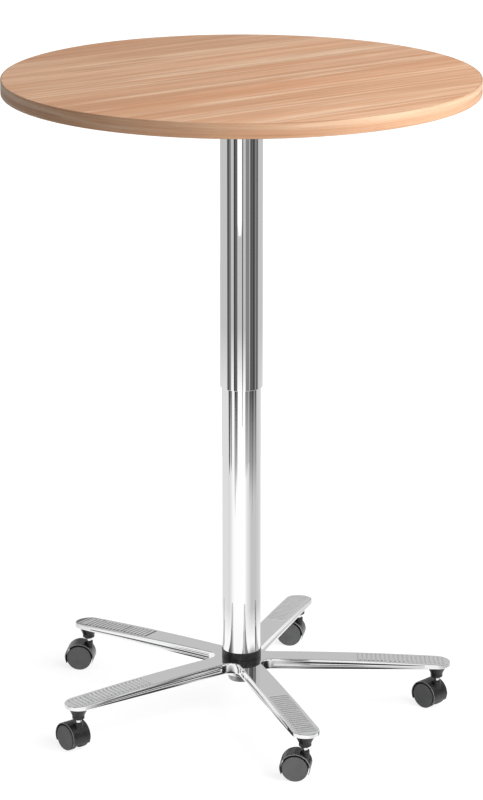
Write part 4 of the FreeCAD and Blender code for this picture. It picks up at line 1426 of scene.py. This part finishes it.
    def flank(self, along: float) -> list[Vector]:
        """Draws the side wall's section, from the top's edge down to the underside's edge.

        Args:
            along: The distance along the arm.

        Returns:
            Its points.
        """
        here = self.station(along)
        upper, lower, low = self.top_round, self.bottom_round, self.arm_bottom
        radius, depth, height = self.flute(along)
        middle = (self.crown(here.spot) + low) / 2
        profile = [(upper * (1 - math.sin(turn)), upper * (1 - math.cos(turn)), True) for turn in quarter(5)]
        for step in range(self.flute_steps + 1):
            rise = height * math.cos(math.pi * step / self.flute_steps)
            inset = math.sqrt(radius ** 2 - rise ** 2) - math.sqrt(radius ** 2 - height ** 2) if depth else 0.0
            profile.append((inset, middle + rise, False))
        for turn in quarter(3):
            profile.append((lower * (1 - math.cos(turn)), low + lower * (1 - math.sin(turn)), False))
        points = []
        for inset, height, from_top in profile:
            spot = here.spot - here.out * inset
            level = self.crown(spot) - height if from_top else height
            points.append(Vector((spot.x, spot.y, level)))
        return points

    def top_row(self, along: float) -> list[Vector]:
        """Draws a row of points across the top face, from the middle to the edge.

        Args:
            along: The distance along the arm.

        Returns:
            The points.
        """
        here = self.station(along)
        edge = here.spot - here.out * self.top_round
        half = max(edge.y, 0.0)
        depth = self.groove_depth * max(self.inside_share(along, groove) for groove in self.grooves())
        row = []
        for place, across in enumerate(self.columns(half, self.groove_half_length)):
            spot = Vector((edge.x, across))
            sunk = depth if place < len(self.column_steps) else 0.0
            row.append(Vector((spot.x, spot.y, self.crown(spot) - sunk)))
        return row

    def bottom_row(self, along: float) -> list[Vector]:
        """Draws a row of points across the underside, up to the roof where there is a cell.

        Args:
            along: The distance along the arm.

        Returns:
            The points, from the middle to the edge.
        """
        here = self.station(along)
        edge = here.spot - here.out * self.bottom_round
        half = max(edge.y, 0.0)
        side = here.spot.y - self.wall - self.flute_depths[0]
        hollow = self.inside(along, self.cells())
        row = []
        for place, across in enumerate(self.columns(half, max(side, half * self.least_roof))):
            spot = Vector((edge.x, across))
            roof = hollow and place < len(self.column_steps)
            row.append(Vector((spot.x, spot.y, self.crown(spot) - self.wall if roof else self.arm_bottom)))
        return row

    @staticmethod
    def mirrored(row: Sequence[Vector]) -> list[Vector]:
        """A whole row from its half: the far side first."""
        return [Vector((p.x, -p.y, p.z)) for p in reversed(row[1:])] + list(row)

    def section(self, along: float) -> list[Vector]:
        """Draws the closed section across the arm.

        Args:
            along: The distance along the arm.

        Returns:
            Its points.
        """
        flank = self.flank(along)
        far = [Vector((p.x, -p.y, p.z)) for p in reversed(flank)]
        top = self.mirrored(self.top_row(along))
        bottom = list(reversed(self.mirrored(self.bottom_row(along))))
        return top + flank + bottom + far

    def arc(self, radius: float, height: float, shares: Sequence[float]) -> list[Vector]:
        """Points on a level circle about the column, at shares of the half step between arms."""
        return self.mirrored([polar(radius, self.half_step * share, height) for share in shares])

    def sector(self) -> bpy.types.Mesh:
        """Makes one arm with its share of the hub, open where it meets its neighbours.

        Returns:
            The mesh.
        """
        draft = Draft()
        draft.loft([self.section(along) for along in self.places()])
        root_top, root_bottom = self.top_row(self.valley.x), self.bottom_row(self.valley.x)
        upper = [point.y / root_top[-1].y for point in root_top]
        lower = [point.y / root_bottom[-1].y for point in root_bottom]
        seat, edge = self.hub_top - self.seat_depth, self.bottom_round
        inner_top = self.arc(self.bore_radius, self.crown(Vector((self.bore_radius, 0.0))), upper)
        inner_bottom = self.arc(self.boss_radius, self.arm_bottom, lower)
        draft.loft([inner_top, self.mirrored(root_top)], around=False)
        draft.loft([inner_bottom, self.mirrored(root_bottom)], around=False)
        draft.loft([inner_top, self.arc(self.bore_radius, seat, upper),
                    self.arc(self.taper_radius + self.taper_flare, seat, upper),
                    self.arc(self.taper_radius, self.hub_bottom, upper),
                    self.arc(self.boss_radius - edge, self.hub_bottom, upper),
                    self.arc(self.boss_radius - edge * EASE, self.hub_bottom + edge * EASE, upper),
                    self.arc(self.boss_radius, self.hub_bottom + edge, upper), inner_bottom], around=False)
        mesh = draft.mesh("arm_sector")
        # Faces low in the grooves carry the painted groove shade.
        mark(mesh, self.in_groove_shade)
        return mesh

    def build(self, shop: Paintshop) -> None:
        """Repeats the sector round the hub and dresses the casting.

        Args:
            shop: Where the piece is dressed.
        """
        star = ring_tree().build("star", self.sector(), shop.materials[Slot.ALUMINIUM],
                                 Count=self.arms, Radius=0.0)
        shop.deliver("polished_star", outward(star), Body.BASE, Slot.ALUMINIUM, ["star_base"])


# ------------------------------------------------------------------ castors

@dataclass
class Castors:
    """The five twin-wheel castors: sockets and stems on the base, hoods and wheels on bodies of their own."""

    count: int = 5
    hood_radius: float = 0.0262
    hood_wall: float = 0.0017
    hood_half: float = 0.018
    hood_edge: float = 0.0008
    hood_steps: int = 56
    rim_depth: float = 0.0009
    hood_dip: float = math.radians(25)
    horn_run: float = math.radians(30)
    horn_share: float = 0.22
    wheel_room: float = 0.0001
    boss_radius: float = 0.0075
    boss_round: float = 0.0009
    boss_top: float = 0.051
    web_half: float = 0.005
    web_steps: int = 12
    web_end: float = math.radians(150)
    web_sunk: float = 0.0006
    axle_boss: float = 0.007
    axle_bore: float = 0.00255
    wheel_radius: float = 0.0225
    face_radius: float = 0.0214
    wheel_inner: float = 0.006
    wheel_outer: float = 0.0183
    wheel_depth: float = 0.0025
    stem_radius: float = 0.005
    spigot_radius: float = 0.0035
    bush_bore: float = 0.00505
    bush_seat: float = 0.008
    flare_radius: float = 0.0107
    flare_height: float = 0.064
    flare_growth: float = 0.0068
    flare_power: float = 1.15
    flare_rim: float = 0.0012
    flare_shares: tuple[float, ...] = (0.0, 0.15, 0.3, 0.45, 0.6, 0.75, 0.9, 1.0)

    def __post_init__(self) -> None:
        """Reads the trail from the frame."""
        stem, axle = Vector(joint_place("castor_swivel_1")), Vector(joint_place("left_roll_1"))
        self.circle = stem.xy.length
        self.trail = (axle - stem).xy.length
        self.axle_height = axle.z
        self.hood_inner = self.hood_radius - self.hood_wall

    def place(self, number: int) -> Matrix:
        """Finds castor space: its origin lies on the floor under the stem, its trail along +X.

        Args:
            number: The castor's number.

        Returns:
            Where it lies.
        """
        stem = Vector(joint_place(f"castor_swivel_{number}"))
        axle = Vector(joint_place(f"left_roll_{number}"))
        heading = math.atan2(axle.y - stem.y, axle.x - stem.x)
        return Matrix.Translation((stem.x, stem.y, 0.0)) @ Matrix.Rotation(heading, 4, "Z")

    def on_axle(self, side: Side) -> Matrix:
        """Where a piece turned about Z lies once its axis is the axle and its top points to a side."""
        turn = Matrix.Rotation(-side.value * QUARTER_TURN, 4, "X")
        return Matrix.Translation((self.trail, 0.0, self.axle_height)) @ turn

    def by_axle(self, radius: float, turn: float, across: float) -> Vector:
        """The point at a distance from the axle, an angle round it and a place along it."""
        return Vector((self.trail + radius * math.cos(turn), across, self.axle_height + radius * math.sin(turn)))

    def socket(self) -> bpy.types.Mesh:
        """Makes the flared bush under the arm.

        Returns:
            The mesh.
        """
        low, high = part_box("castor_socket_1")
        arm, start = StarBase.arm_bottom, self.flare_height
        flare = [Corner(self.flare_radius + self.flare_growth * (share ** self.flare_power),
                        start + (arm - self.flare_rim - start) * share) for share in self.flare_shares]
        return turned("socket", [
            Corner(self.bush_bore, low.z, 0.0002), Corner(0.0062, low.z, 0.0004),
            Corner(0.0105, low.z + 0.0026, 0.0008), *flare,
            Corner(self.flare_radius + self.flare_growth, arm, 0.0003),
            Corner(self.bush_seat, arm), Corner(self.bush_seat, high.z),
            Corner(self.bush_bore, high.z)], steps=48, round_steps=3)

    def stem(self) -> bpy.types.Mesh:
        """Makes the bright stem with its spigot.

        Returns:
            The mesh.
        """
        low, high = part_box("castor_stem_1")
        spigot, radius, shoulder = self.spigot_radius, self.stem_radius, self.boss_top + 0.0003
        return turned("stem", [
            Corner(0.0, low.z), Corner(spigot, low.z, 0.0004), Corner(spigot, shoulder),
            Corner(radius, shoulder, 0.0003), Corner(radius, high.z, 0.0004),
            Corner(0.0, high.z)], steps=36, round_steps=3)

    def fender(self) -> bpy.types.Mesh:
        """Makes the shell over both wheels, which thins to a point at each horn.

        Returns:
            The mesh.
        """
        inner, half = self.hood_inner, self.hood_half
        start, sweep = -self.hood_dip, math.pi + 2 * self.hood_dip
        rings = []
        for step in range(self.hood_steps + 1):
            turn = start + sweep * step / self.hood_steps
            to_end = min(turn - start, start + sweep - turn)
            growth = (1 - self.horn_share) * to_end / self.horn_run
            thick = self.hood_wall * min(1.0, self.horn_share + growth)
            outer, soft = inner + thick, min(self.hood_edge, thick * 0.4)
            ease = soft * EASE
            near = [(inner, -half + soft), (inner + ease, -half + ease), (inner + soft, -half),
                    (outer - soft, -half), (outer - ease, -half + ease), (outer, -half + soft),
                    (outer, -half + 3 * soft)]
            loop = near + [(radius, -across) for radius, across in reversed(near)]
            rings.append([self.by_axle(radius, turn, across) for radius, across in loop])
        return lofted("fender", rings)

    def hood(self) -> bpy.types.Mesh:
        """Makes the fender with its stem boss, and the web that holds the axle.

        Returns:
            The mesh.
        """
        axle, top, radius = self.axle_height, self.boss_top, self.boss_radius
        room, bore, reach = self.hood_inner - self.wheel_room, self.spigot_radius + FIT, 0.03
        boss = turned("boss", [
            Corner(0.0, axle), Corner(radius, axle),
            Corner(radius, top, self.boss_round), Corner(0.0, top)], steps=48)
        wheels = turned("wheels", [
            Corner(0.0, -reach), Corner(room, -reach), Corner(room, reach), Corner(0.0, reach)])
        wheels.transform(self.on_axle(Side.LEFT))
        hood = combined(self.fender(), combined(boss, wheels, Boolean.DIFFERENCE), Boolean.UNION)
        hood = combined(hood, self.web(), Boolean.UNION)
        drill = turned("bore", [
            Corner(0.0, reach), Corner(bore, reach), Corner(bore, 2 * reach), Corner(0.0, 2 * reach)], steps=36)
        hood = combined(hood, drill, Boolean.DIFFERENCE)
        # The rim faces beside the wheels take the lighter second colour, a painted highlight along the hood's rim.
        mark(hood, lambda centre: abs(centre.y) > self.hood_half - self.rim_depth)
        return hood

    def web(self) -> bpy.types.Mesh:
        """Makes the plate between the wheels, from the stem's boss down to the axle.

        Returns:
            The mesh.
        """
        reach = self.hood_inner + self.web_sunk
        rise = math.acos(self.axle_boss / reach)
        shares = [step / self.web_steps for step in range(self.web_steps + 1)]
        rings = []
        for across in (-self.web_half, self.web_half):
            ring = [Vector((-self.boss_radius, across, self.axle_height + self.boss_radius)),
                    Vector((0.0, across, self.axle_height))]
            ring += [self.by_axle(self.axle_boss, math.pi + math.pi * share, across) for share in shares]
            ring += [self.by_axle(reach, between((rise, self.web_end), share), across) for share in shares]
            rings.append(ring)
        return lofted("web", rings)

    def wheel(self, side: Side) -> bpy.types.Mesh:
        """Makes one wheel: a faintly dished face outside, a rounded tread, an open inner face.

        Args:
            side: The side that it is on.

        Returns:
            The mesh.
        """
        rim, inner, outer, face = self.wheel_radius, self.wheel_inner, self.wheel_outer, self.face_radius
        bore, floor = self.axle_bore, self.wheel_outer - self.wheel_depth
        mesh = turned("wheel", [
            Corner(0.0, outer - 0.0004), Corner(face - 0.002, outer - 0.0002),
            Corner(face, outer - 0.0002, 0.0003), Corner(face, outer - 0.0008),
            Corner(rim, outer - 0.0018, 0.0006), Corner(rim, inner + 0.0012, 0.0006),
            Corner(rim - 0.0012, inner, 0.0006), Corner(bore, inner, 0.0003),
            Corner(bore, floor), Corner(0.0, floor)], steps=72, round_steps=3)
        # The tread and inner face take the near-black second colour, painted shade in the gap under the hood.
        mark(mesh, lambda centre: centre.xy.length > face - WELD or centre.z < outer - 0.0007)
        mesh.transform(self.on_axle(side))
        return mesh

    def build(self, shop: Paintshop) -> None:
        """Builds and dresses the castors.

        Args:
            shop: Where the pieces are dressed.
        """
        numbers = range(1, self.count + 1)
        ring = ring_tree()
        for name, single, slot, node in (
                ("castor_bushes", self.socket(), Slot.BLACK_PLASTIC, "castor_socket"),
                ("castor_pins", self.stem(), Slot.STEM_STEEL, "castor_stem")):
            whole = ring.build(name, single, shop.materials[slot], Count=self.count, Radius=self.circle)
            shop.deliver(name, whole, Body.BASE, slot, [f"{node}_{number}" for number in numbers])
        hood = self.hood()
        wheels = {side.name.lower(): self.wheel(side) for side in Side}
        for number in numbers:
            place = self.place(number)
            shop.deliver(f"hood_{number}", moved(hood, place), f"castor_{number}", Slot.BLACK_PLASTIC,
                         [f"castor_hood_{number}"])
            for side, wheel in wheels.items():
                shop.deliver(f"{side}_wheel_{number}", moved(wheel, place), f"{side}_roller_{number}",
                             Slot.WHEEL_PLASTIC, [f"wheel_{side}_{number}"])


# ------------------------------------------------------------------ studio

@dataclass(frozen=True)
class Panel:
    """An upright panel of the studio that only mirrors see.

    Angles are in degrees round the table from the camera's side, to the right; brightness is that of
    a white panel at 1; low and high are heights in metres. Below the height of its taper the panel
    narrows to its foot's share of the width, and runs on over the floor to a distance of reach: to a
    point, or with a fade, in full width and with its foot that much of the way to the floor's level.
    """

    start: float
    end: float
    brightness: float
    low: float = 0.0
    high: float = 0.95
    taper: float = 0.16
    foot: float = 1.0
    reach: float = 0.0
    fade: float = 0.0


@dataclass(frozen=True)
class ShadowSpot:
    """A painted shadow on the floor that only mirrors see: a dark spot with a soft edge.

    The azimuth and half turn are in degrees, the distance and half depth in metres.
    """

    azimuth: float
    distance: float
    half_turn: float
    half_depth: float
    brightness: float = 0.04

    def share(self, azimuth: float, distance: float) -> float:
        """How much of the spot shows at a place: 1 inside, 0 outside."""
        out = math.hypot((azimuth - self.azimuth) / self.half_turn, (distance - self.distance) / self.half_depth)
        return rise_share(out, *SPOT_EDGE)


class GlowSheet:
    """Glowing patches in one mesh, with a brightness at each point, that only mirrors see."""

    def __init__(self) -> None:
        """Starts with no patches."""
        self.draft = Draft()
        self.levels: list[float] = []

    def patch(self, rows: Sequence[Sequence[Vector]], levels: Sequence[Sequence[float]]) -> None:
        """Adds a patch.

        Args:
            rows: Its rows of points, of equal length.
            levels: The brightness at each of them.
        """
        self.draft.loft(rows, around=False)
        for row in levels:
            self.levels += row

    def place(self, name: str, material: bpy.types.Material) -> None:
        """Puts the patches into the scene, where only mirrors see them.

        Args:
            name: The object's name.
            material: Its glow.
        """
        mesh = self.draft.drawn(name)
        mesh.attributes.new(GLOW, "FLOAT", "POINT").data.foreach_set("value", self.levels)
        mesh.materials.append(material)
        item = put(name, mesh)
        for kind in ("camera", "diffuse", "shadow", "transmission", "volume_scatter"):
            setattr(item, f"visible_{kind}", False)


@dataclass
class Studio:
    """The camera, the floor, the lights and the panels that the polished metal mirrors."""

    camera_distance: float = 5.526
    camera_height: float = 2.152
    target_height: float = 0.560
    focal_pixels: float = 3371.0
    image_height: float = 800.0
    sensor: float = 36.0
    floor_radius: float = 40.0
    floor_color: Color = (0.93, 0.93, 0.93)
    floor_white: float = 1.16
    floor_near: Pair = (0.45, 0.70)
    floor_far: Pair = (1.4, 1.0)
    ambient: float = 0.35
    ambient_slope: float = 0.10
    key_power: float = 128.0
    key_size: float = 3.0
    key_place: Triple = (1.95, -1.3, 2.1)
    wall_radius: float = 1.5
    wall_gap: float = 0.02
    wall_brightness: float = 0.575
    wall_blend: Pair = (0.16, 0.30)
    glare: float = 1.2
    glare_front: Pair = (0.84, 1.02)
    glare_back: Pair = (1.12, 1.20)
    glare_turn: Pair = (100.0, 125.0)
    wall_height: float = 1.26
    hub_shade: float = 0.3
    hub_reach: Pair = (0.05, 0.09)
    near_brightness: float = 1.02
    near_reach: Pair = (0.40, 0.56)
    mat_hub: float = 0.005
    mat_step: float = 0.02
    mat_height: float = 0.001
    panel_foot: float = 0.004
    panel_floor: float = 0.003
    panels: tuple[Panel, ...] = (
        Panel(-83, -68, 0.095, foot=0.6, reach=1.40),
        Panel(-68, -58, 0.24, foot=0.6, reach=1.42),
        Panel(-42, -34, 0.05, foot=0.75, reach=1.12),
        Panel(-34, -22, 0.13, foot=0.5, reach=1.30),
        Panel(-21, 3, 1.10, 0.51, 1.26, 0.03, 0.6),
        Panel(3, 9, 0.11, 0.088, taper=0.2, foot=0.3),
        Panel(22, 42, 0.24, foot=0.9, reach=1.40, fade=0.5),
        Panel(42, 47, 0.50),
        Panel(47, 56, 0.085, foot=0.9, reach=1.20, fade=0.4),
        Panel(56, 64, 0.13, reach=1.25, fade=0.45),
        Panel(64, 72, 0.055, foot=0.9, reach=1.10, fade=0.35),
        Panel(72, 80, 0.12, reach=1.25, fade=0.5),
        Panel(80, 87, 0.32, reach=1.25, fade=0.5),
        Panel(87, 94, 0.07, foot=0.9, reach=1.20, fade=0.45),
        Panel(94, 100, 0.18, reach=1.30, fade=0.5),
        Panel(166, 173, 0.10, 0.0, 0.44),
        Panel(186, 199, 0.16, 0.0, 0.44),
    )
    # Painted shadows on the floor that mirrors see, near the arms.
    shadow_spots: tuple[ShadowSpot, ...] = (
        ShadowSpot(66, 0.215, 40, 0.125, 0.02),
        ShadowSpot(-12, 0.185, 38, 0.10),
        ShadowSpot(-90, 0.22, 10, 0.06),
    )
    floor_levels: tuple[Pair, ...] = (
        (-180, 0.76), (-95, 0.78), (-80, 0.73), (-67, 0.79), (-54, 0.98), (-40, 1.05), (20, 1.07), (32, 0.83),
        (44, 0.75), (54, 0.63), (66, 0.56), (78, 0.60), (90, 0.57), (105, 0.62), (140, 0.71), (180, 0.76),
    )

    def glow_material(self) -> bpy.types.Material:
        """Builds a glow whose brightness each point carries.

        Returns:
            The material.
        """
        shader = Shader("studio_panel")
        glow = shader.add("ShaderNodeEmission", {"Strength": shader.carried(GLOW)})
        shader.cover(glow.outputs[0])
        return shader.material

    @property
    def azimuths(self) -> list[float]:
        """The angles round the table, in degrees, at which the wall and the floor are drawn."""
        return [3.0 * step - 180 for step in range(121)]

    @staticmethod
    def arc(radius: float, height: float, start: float, end: float, share: float = 1.0) -> list[Vector]:
        """A row of points round the table.

        Args:
            radius: How far out it lies.
            height: Its height.
            start: The angle at which it starts, in degrees from the camera's side.
            end: The angle at which it ends.
            share: The share of that width that it keeps, about its middle.

        Returns:
            The points.
        """
        steps = max(2, math.ceil((end - start) / 3))
        middle = (start + end) / 2
        turns = [math.radians(middle + (start + (end - start) * step / steps - middle) * share)
                 for step in range(steps + 1)]
        return [Vector((radius * math.sin(turn), -radius * math.cos(turn), height)) for turn in turns]

    def floor_level(self, azimuth: float) -> float:
        """How bright mirrors see the floor at an angle."""
        turn = (azimuth + 180) % 360 - 180
        for (start, low), (end, high) in zip(self.floor_levels, self.floor_levels[1:]):
            if start <= turn <= end:
                return low + (high - low) * (turn - start) / (end - start)
        raise ValueError(f"no floor at {azimuth} degrees")

    def mat_level(self, azimuth: float, distance: float) -> float:
        """Tells how bright mirrors see the floor: painted shade under the hub, white near it, then by angle, with
        painted shadows at the shadow spots.

        Args:
            azimuth: The angle round the table, in degrees.
            distance: The distance from its middle.

        Returns:
            The brightness.
        """
        level = between((self.hub_shade, self.near_brightness), rise_share(distance, *self.hub_reach))
        level += (self.floor_level(azimuth) - level) * rise_share(distance, *self.near_reach)
        for spot in self.shadow_spots:
            level += (spot.brightness - level) * spot.share(azimuth, distance)
        return level

    def wall(self, glow: bpy.types.Material) -> None:
        """Builds the wall: the floor's levels at its foot, an even band, and a glare along its top.

        Args:
            glow: Its material.
        """
        azimuths = self.azimuths
        rows = []
        for level in range(6):
            row = []
            for azimuth in azimuths:
                share = rise_share(abs(azimuth), *self.glare_turn)
                low, high = (front + (back - front) * share
                             for front, back in zip(self.glare_front, self.glare_back))
                height = (0.0, *self.wall_blend, low, high, self.wall_height)[level]
                row += self.arc(self.wall_radius + self.wall_gap, height, azimuth, azimuth)[:1]
            rows.append(row)
        floor = [self.floor_level(azimuth) for azimuth in azimuths]
        plain = [self.wall_brightness] * len(azimuths)
        glare = [self.glare] * len(azimuths)
        wall = GlowSheet()
        wall.patch(rows, [floor, floor, plain, plain, glare, glare])
        wall.place("studio_wall", glow)

    def stripes(self, glow: bpy.types.Material) -> None:
        """Builds the panels before the wall.

        Args:
            glow: Their material.
        """
        stripes = GlowSheet()
        for panel in self.panels:
            path = [(self.wall_radius, max(panel.low, self.panel_foot), panel.foot, panel.fade),
                    (self.wall_radius, panel.low + panel.taper, 1.0, 0.0),
                    (self.wall_radius, panel.high, 1.0, 0.0)]
            if panel.reach > 0:
                width, fade = (panel.foot, 1.0) if panel.fade > 0 else (0.0, 0.0)
                path.insert(0, (panel.reach, self.panel_floor, width, fade))
            rise = self.floor_level((panel.start + panel.end) / 2) - panel.brightness
            rows, levels = [], []
            for radius, height, width, fade in path:
                rows.append(self.arc(radius, height, panel.start, panel.end, width))
                levels.append([panel.brightness + rise * fade] * len(rows[-1]))
            stripes.patch(rows, levels)
        stripes.place("studio_stripes", glow)

    def mats(self, glow: bpy.types.Material) -> None:
        """Builds the floor that mirrors see.

        Args:
            glow: Its material.
        """
        count = math.ceil(self.near_reach[1] / self.mat_step)
        distances = [self.mat_hub, *(self.mat_step * step for step in range(1, count + 1)),
                     self.wall_radius + self.wall_gap]
        rows = [[self.arc(distance, self.mat_height, azimuth, azimuth)[0] for azimuth in self.azimuths]
                for distance in distances]
        levels = [[self.mat_level(azimuth, distance) for azimuth in self.azimuths] for distance in distances]
        mats = GlowSheet()
        mats.patch(rows, levels)
        mats.place("studio_mats", glow)

    def surroundings(self) -> None:
        """Builds the wall, the panels before it and the floor that mirrors see."""
        glow = self.glow_material()
        self.wall(glow)
        self.stripes(glow)
        self.mats(glow)

    def floor(self) -> None:
        """Builds the pale floor: soft shadow near, white further out, clear from below."""
        draft = Draft()
        draft.faces.append(tuple(draft.ring(self.arc(self.floor_radius, 0.0, -180, 180)[:-1])))
        mesh = draft.mesh("floor")
        shader = Shader("pale_floor")
        shader.set(Base_Color=(*self.floor_color, 1.0), Roughness=0.9)
        out = shader.length(shader.coordinates((1.0, 1.0, 0.0)))
        white = shader.add("ShaderNodeMapRange", {
            "Value": out, "From Min": self.floor_near[0], "From Max": self.floor_far[0],
            "To Min": self.floor_near[1], "To Max": self.floor_far[1]}).outputs[0]
        rays = shader.add("ShaderNodeLightPath")
        seen = shader.math("MAXIMUM", rays.outputs["Is Camera Ray"], rays.outputs["Is Glossy Ray"])
        glow = shader.add("ShaderNodeEmission", {"Strength": self.floor_white})
        share = shader.math("MULTIPLY", seen, white)
        mix = shader.add("ShaderNodeMixShader", {0: share, 1: shader.surface.outputs[0], 2: glow.outputs[0]})
        below = shader.add("ShaderNodeNewGeometry").outputs["Backfacing"]
        clear = shader.add("ShaderNodeBsdfTransparent")
        whole = shader.add("ShaderNodeMixShader", {0: below, 1: mix.outputs[0], 2: clear.outputs[0]})
        shader.cover(whole.outputs[0])
        mesh.materials.append(shader.material)
        item = put("floor", mesh)

    def world(self) -> None:
        """Lights the scene softly, a little more from the right; the camera sees plain white."""
        world = bpy.data.worlds.new("studio")
        bpy.context.scene.world = world
        world.use_nodes = True
        works = NodeWorks(world.node_tree)
        sight = works.add("ShaderNodeTexCoord").outputs["Generated"]
        across = works.add("ShaderNodeSeparateXYZ", {0: sight}).outputs["X"]
        level = works.math("ADD", works.math("MULTIPLY", across, self.ambient_slope), self.ambient)
        rays = works.add("ShaderNodeLightPath")
        lift = works.math("MULTIPLY", rays.outputs["Is Camera Ray"], works.math("SUBTRACT", 1.0, level))
        background = world.node_tree.nodes["Background"]
        works.feed(background.inputs["Strength"], works.math("ADD", lift, level))
        works.feed(background.inputs["Color"], (1.0, 1.0, 1.0, 1.0))

    def key_light(self) -> None:
        """A large softbox at the front right."""
        lamp = bpy.data.lights.new("key", "AREA")
        lamp.energy = self.key_power
        lamp.size = self.key_size
        item = put("key", lamp)
        aim(item, self.key_place, (0.0, 0.0, 1.0))
        item.visible_camera = False
        item.visible_glossy = False

    def camera(self) -> None:
        """Sets the camera up."""
        data = bpy.data.cameras.new("camera")
        data.sensor_width = self.sensor
        data.lens = self.sensor * self.focal_pixels / self.image_height
        data.clip_end = 200.0
        item = put("camera", data)
        aim(item, (0.0, -self.camera_distance, self.camera_height), (0.0, 0.0, self.target_height))
        bpy.context.scene.camera = item

    def build(self) -> None:
        """Builds the studio."""
        self.surroundings()
        self.floor()
        self.world()
        self.key_light()
        self.camera()
        bpy.context.scene.view_settings.view_transform = "Standard"


def main() -> None:
    """Builds and dresses the table and its studio."""
    logging.basicConfig(level=logging.INFO, format="%(name)s: %(message)s")
    shop = Paintshop()
    shop.dress_nodes()
    builders: list[Callable[[Paintshop], None]] = [
        RoundTop().build, Column().build, ReleaseLever().build, StarBase().build, Castors().build]
    for build in builders:
        build(shop)
    Studio().build()


if __name__ == "__main__":
    main()
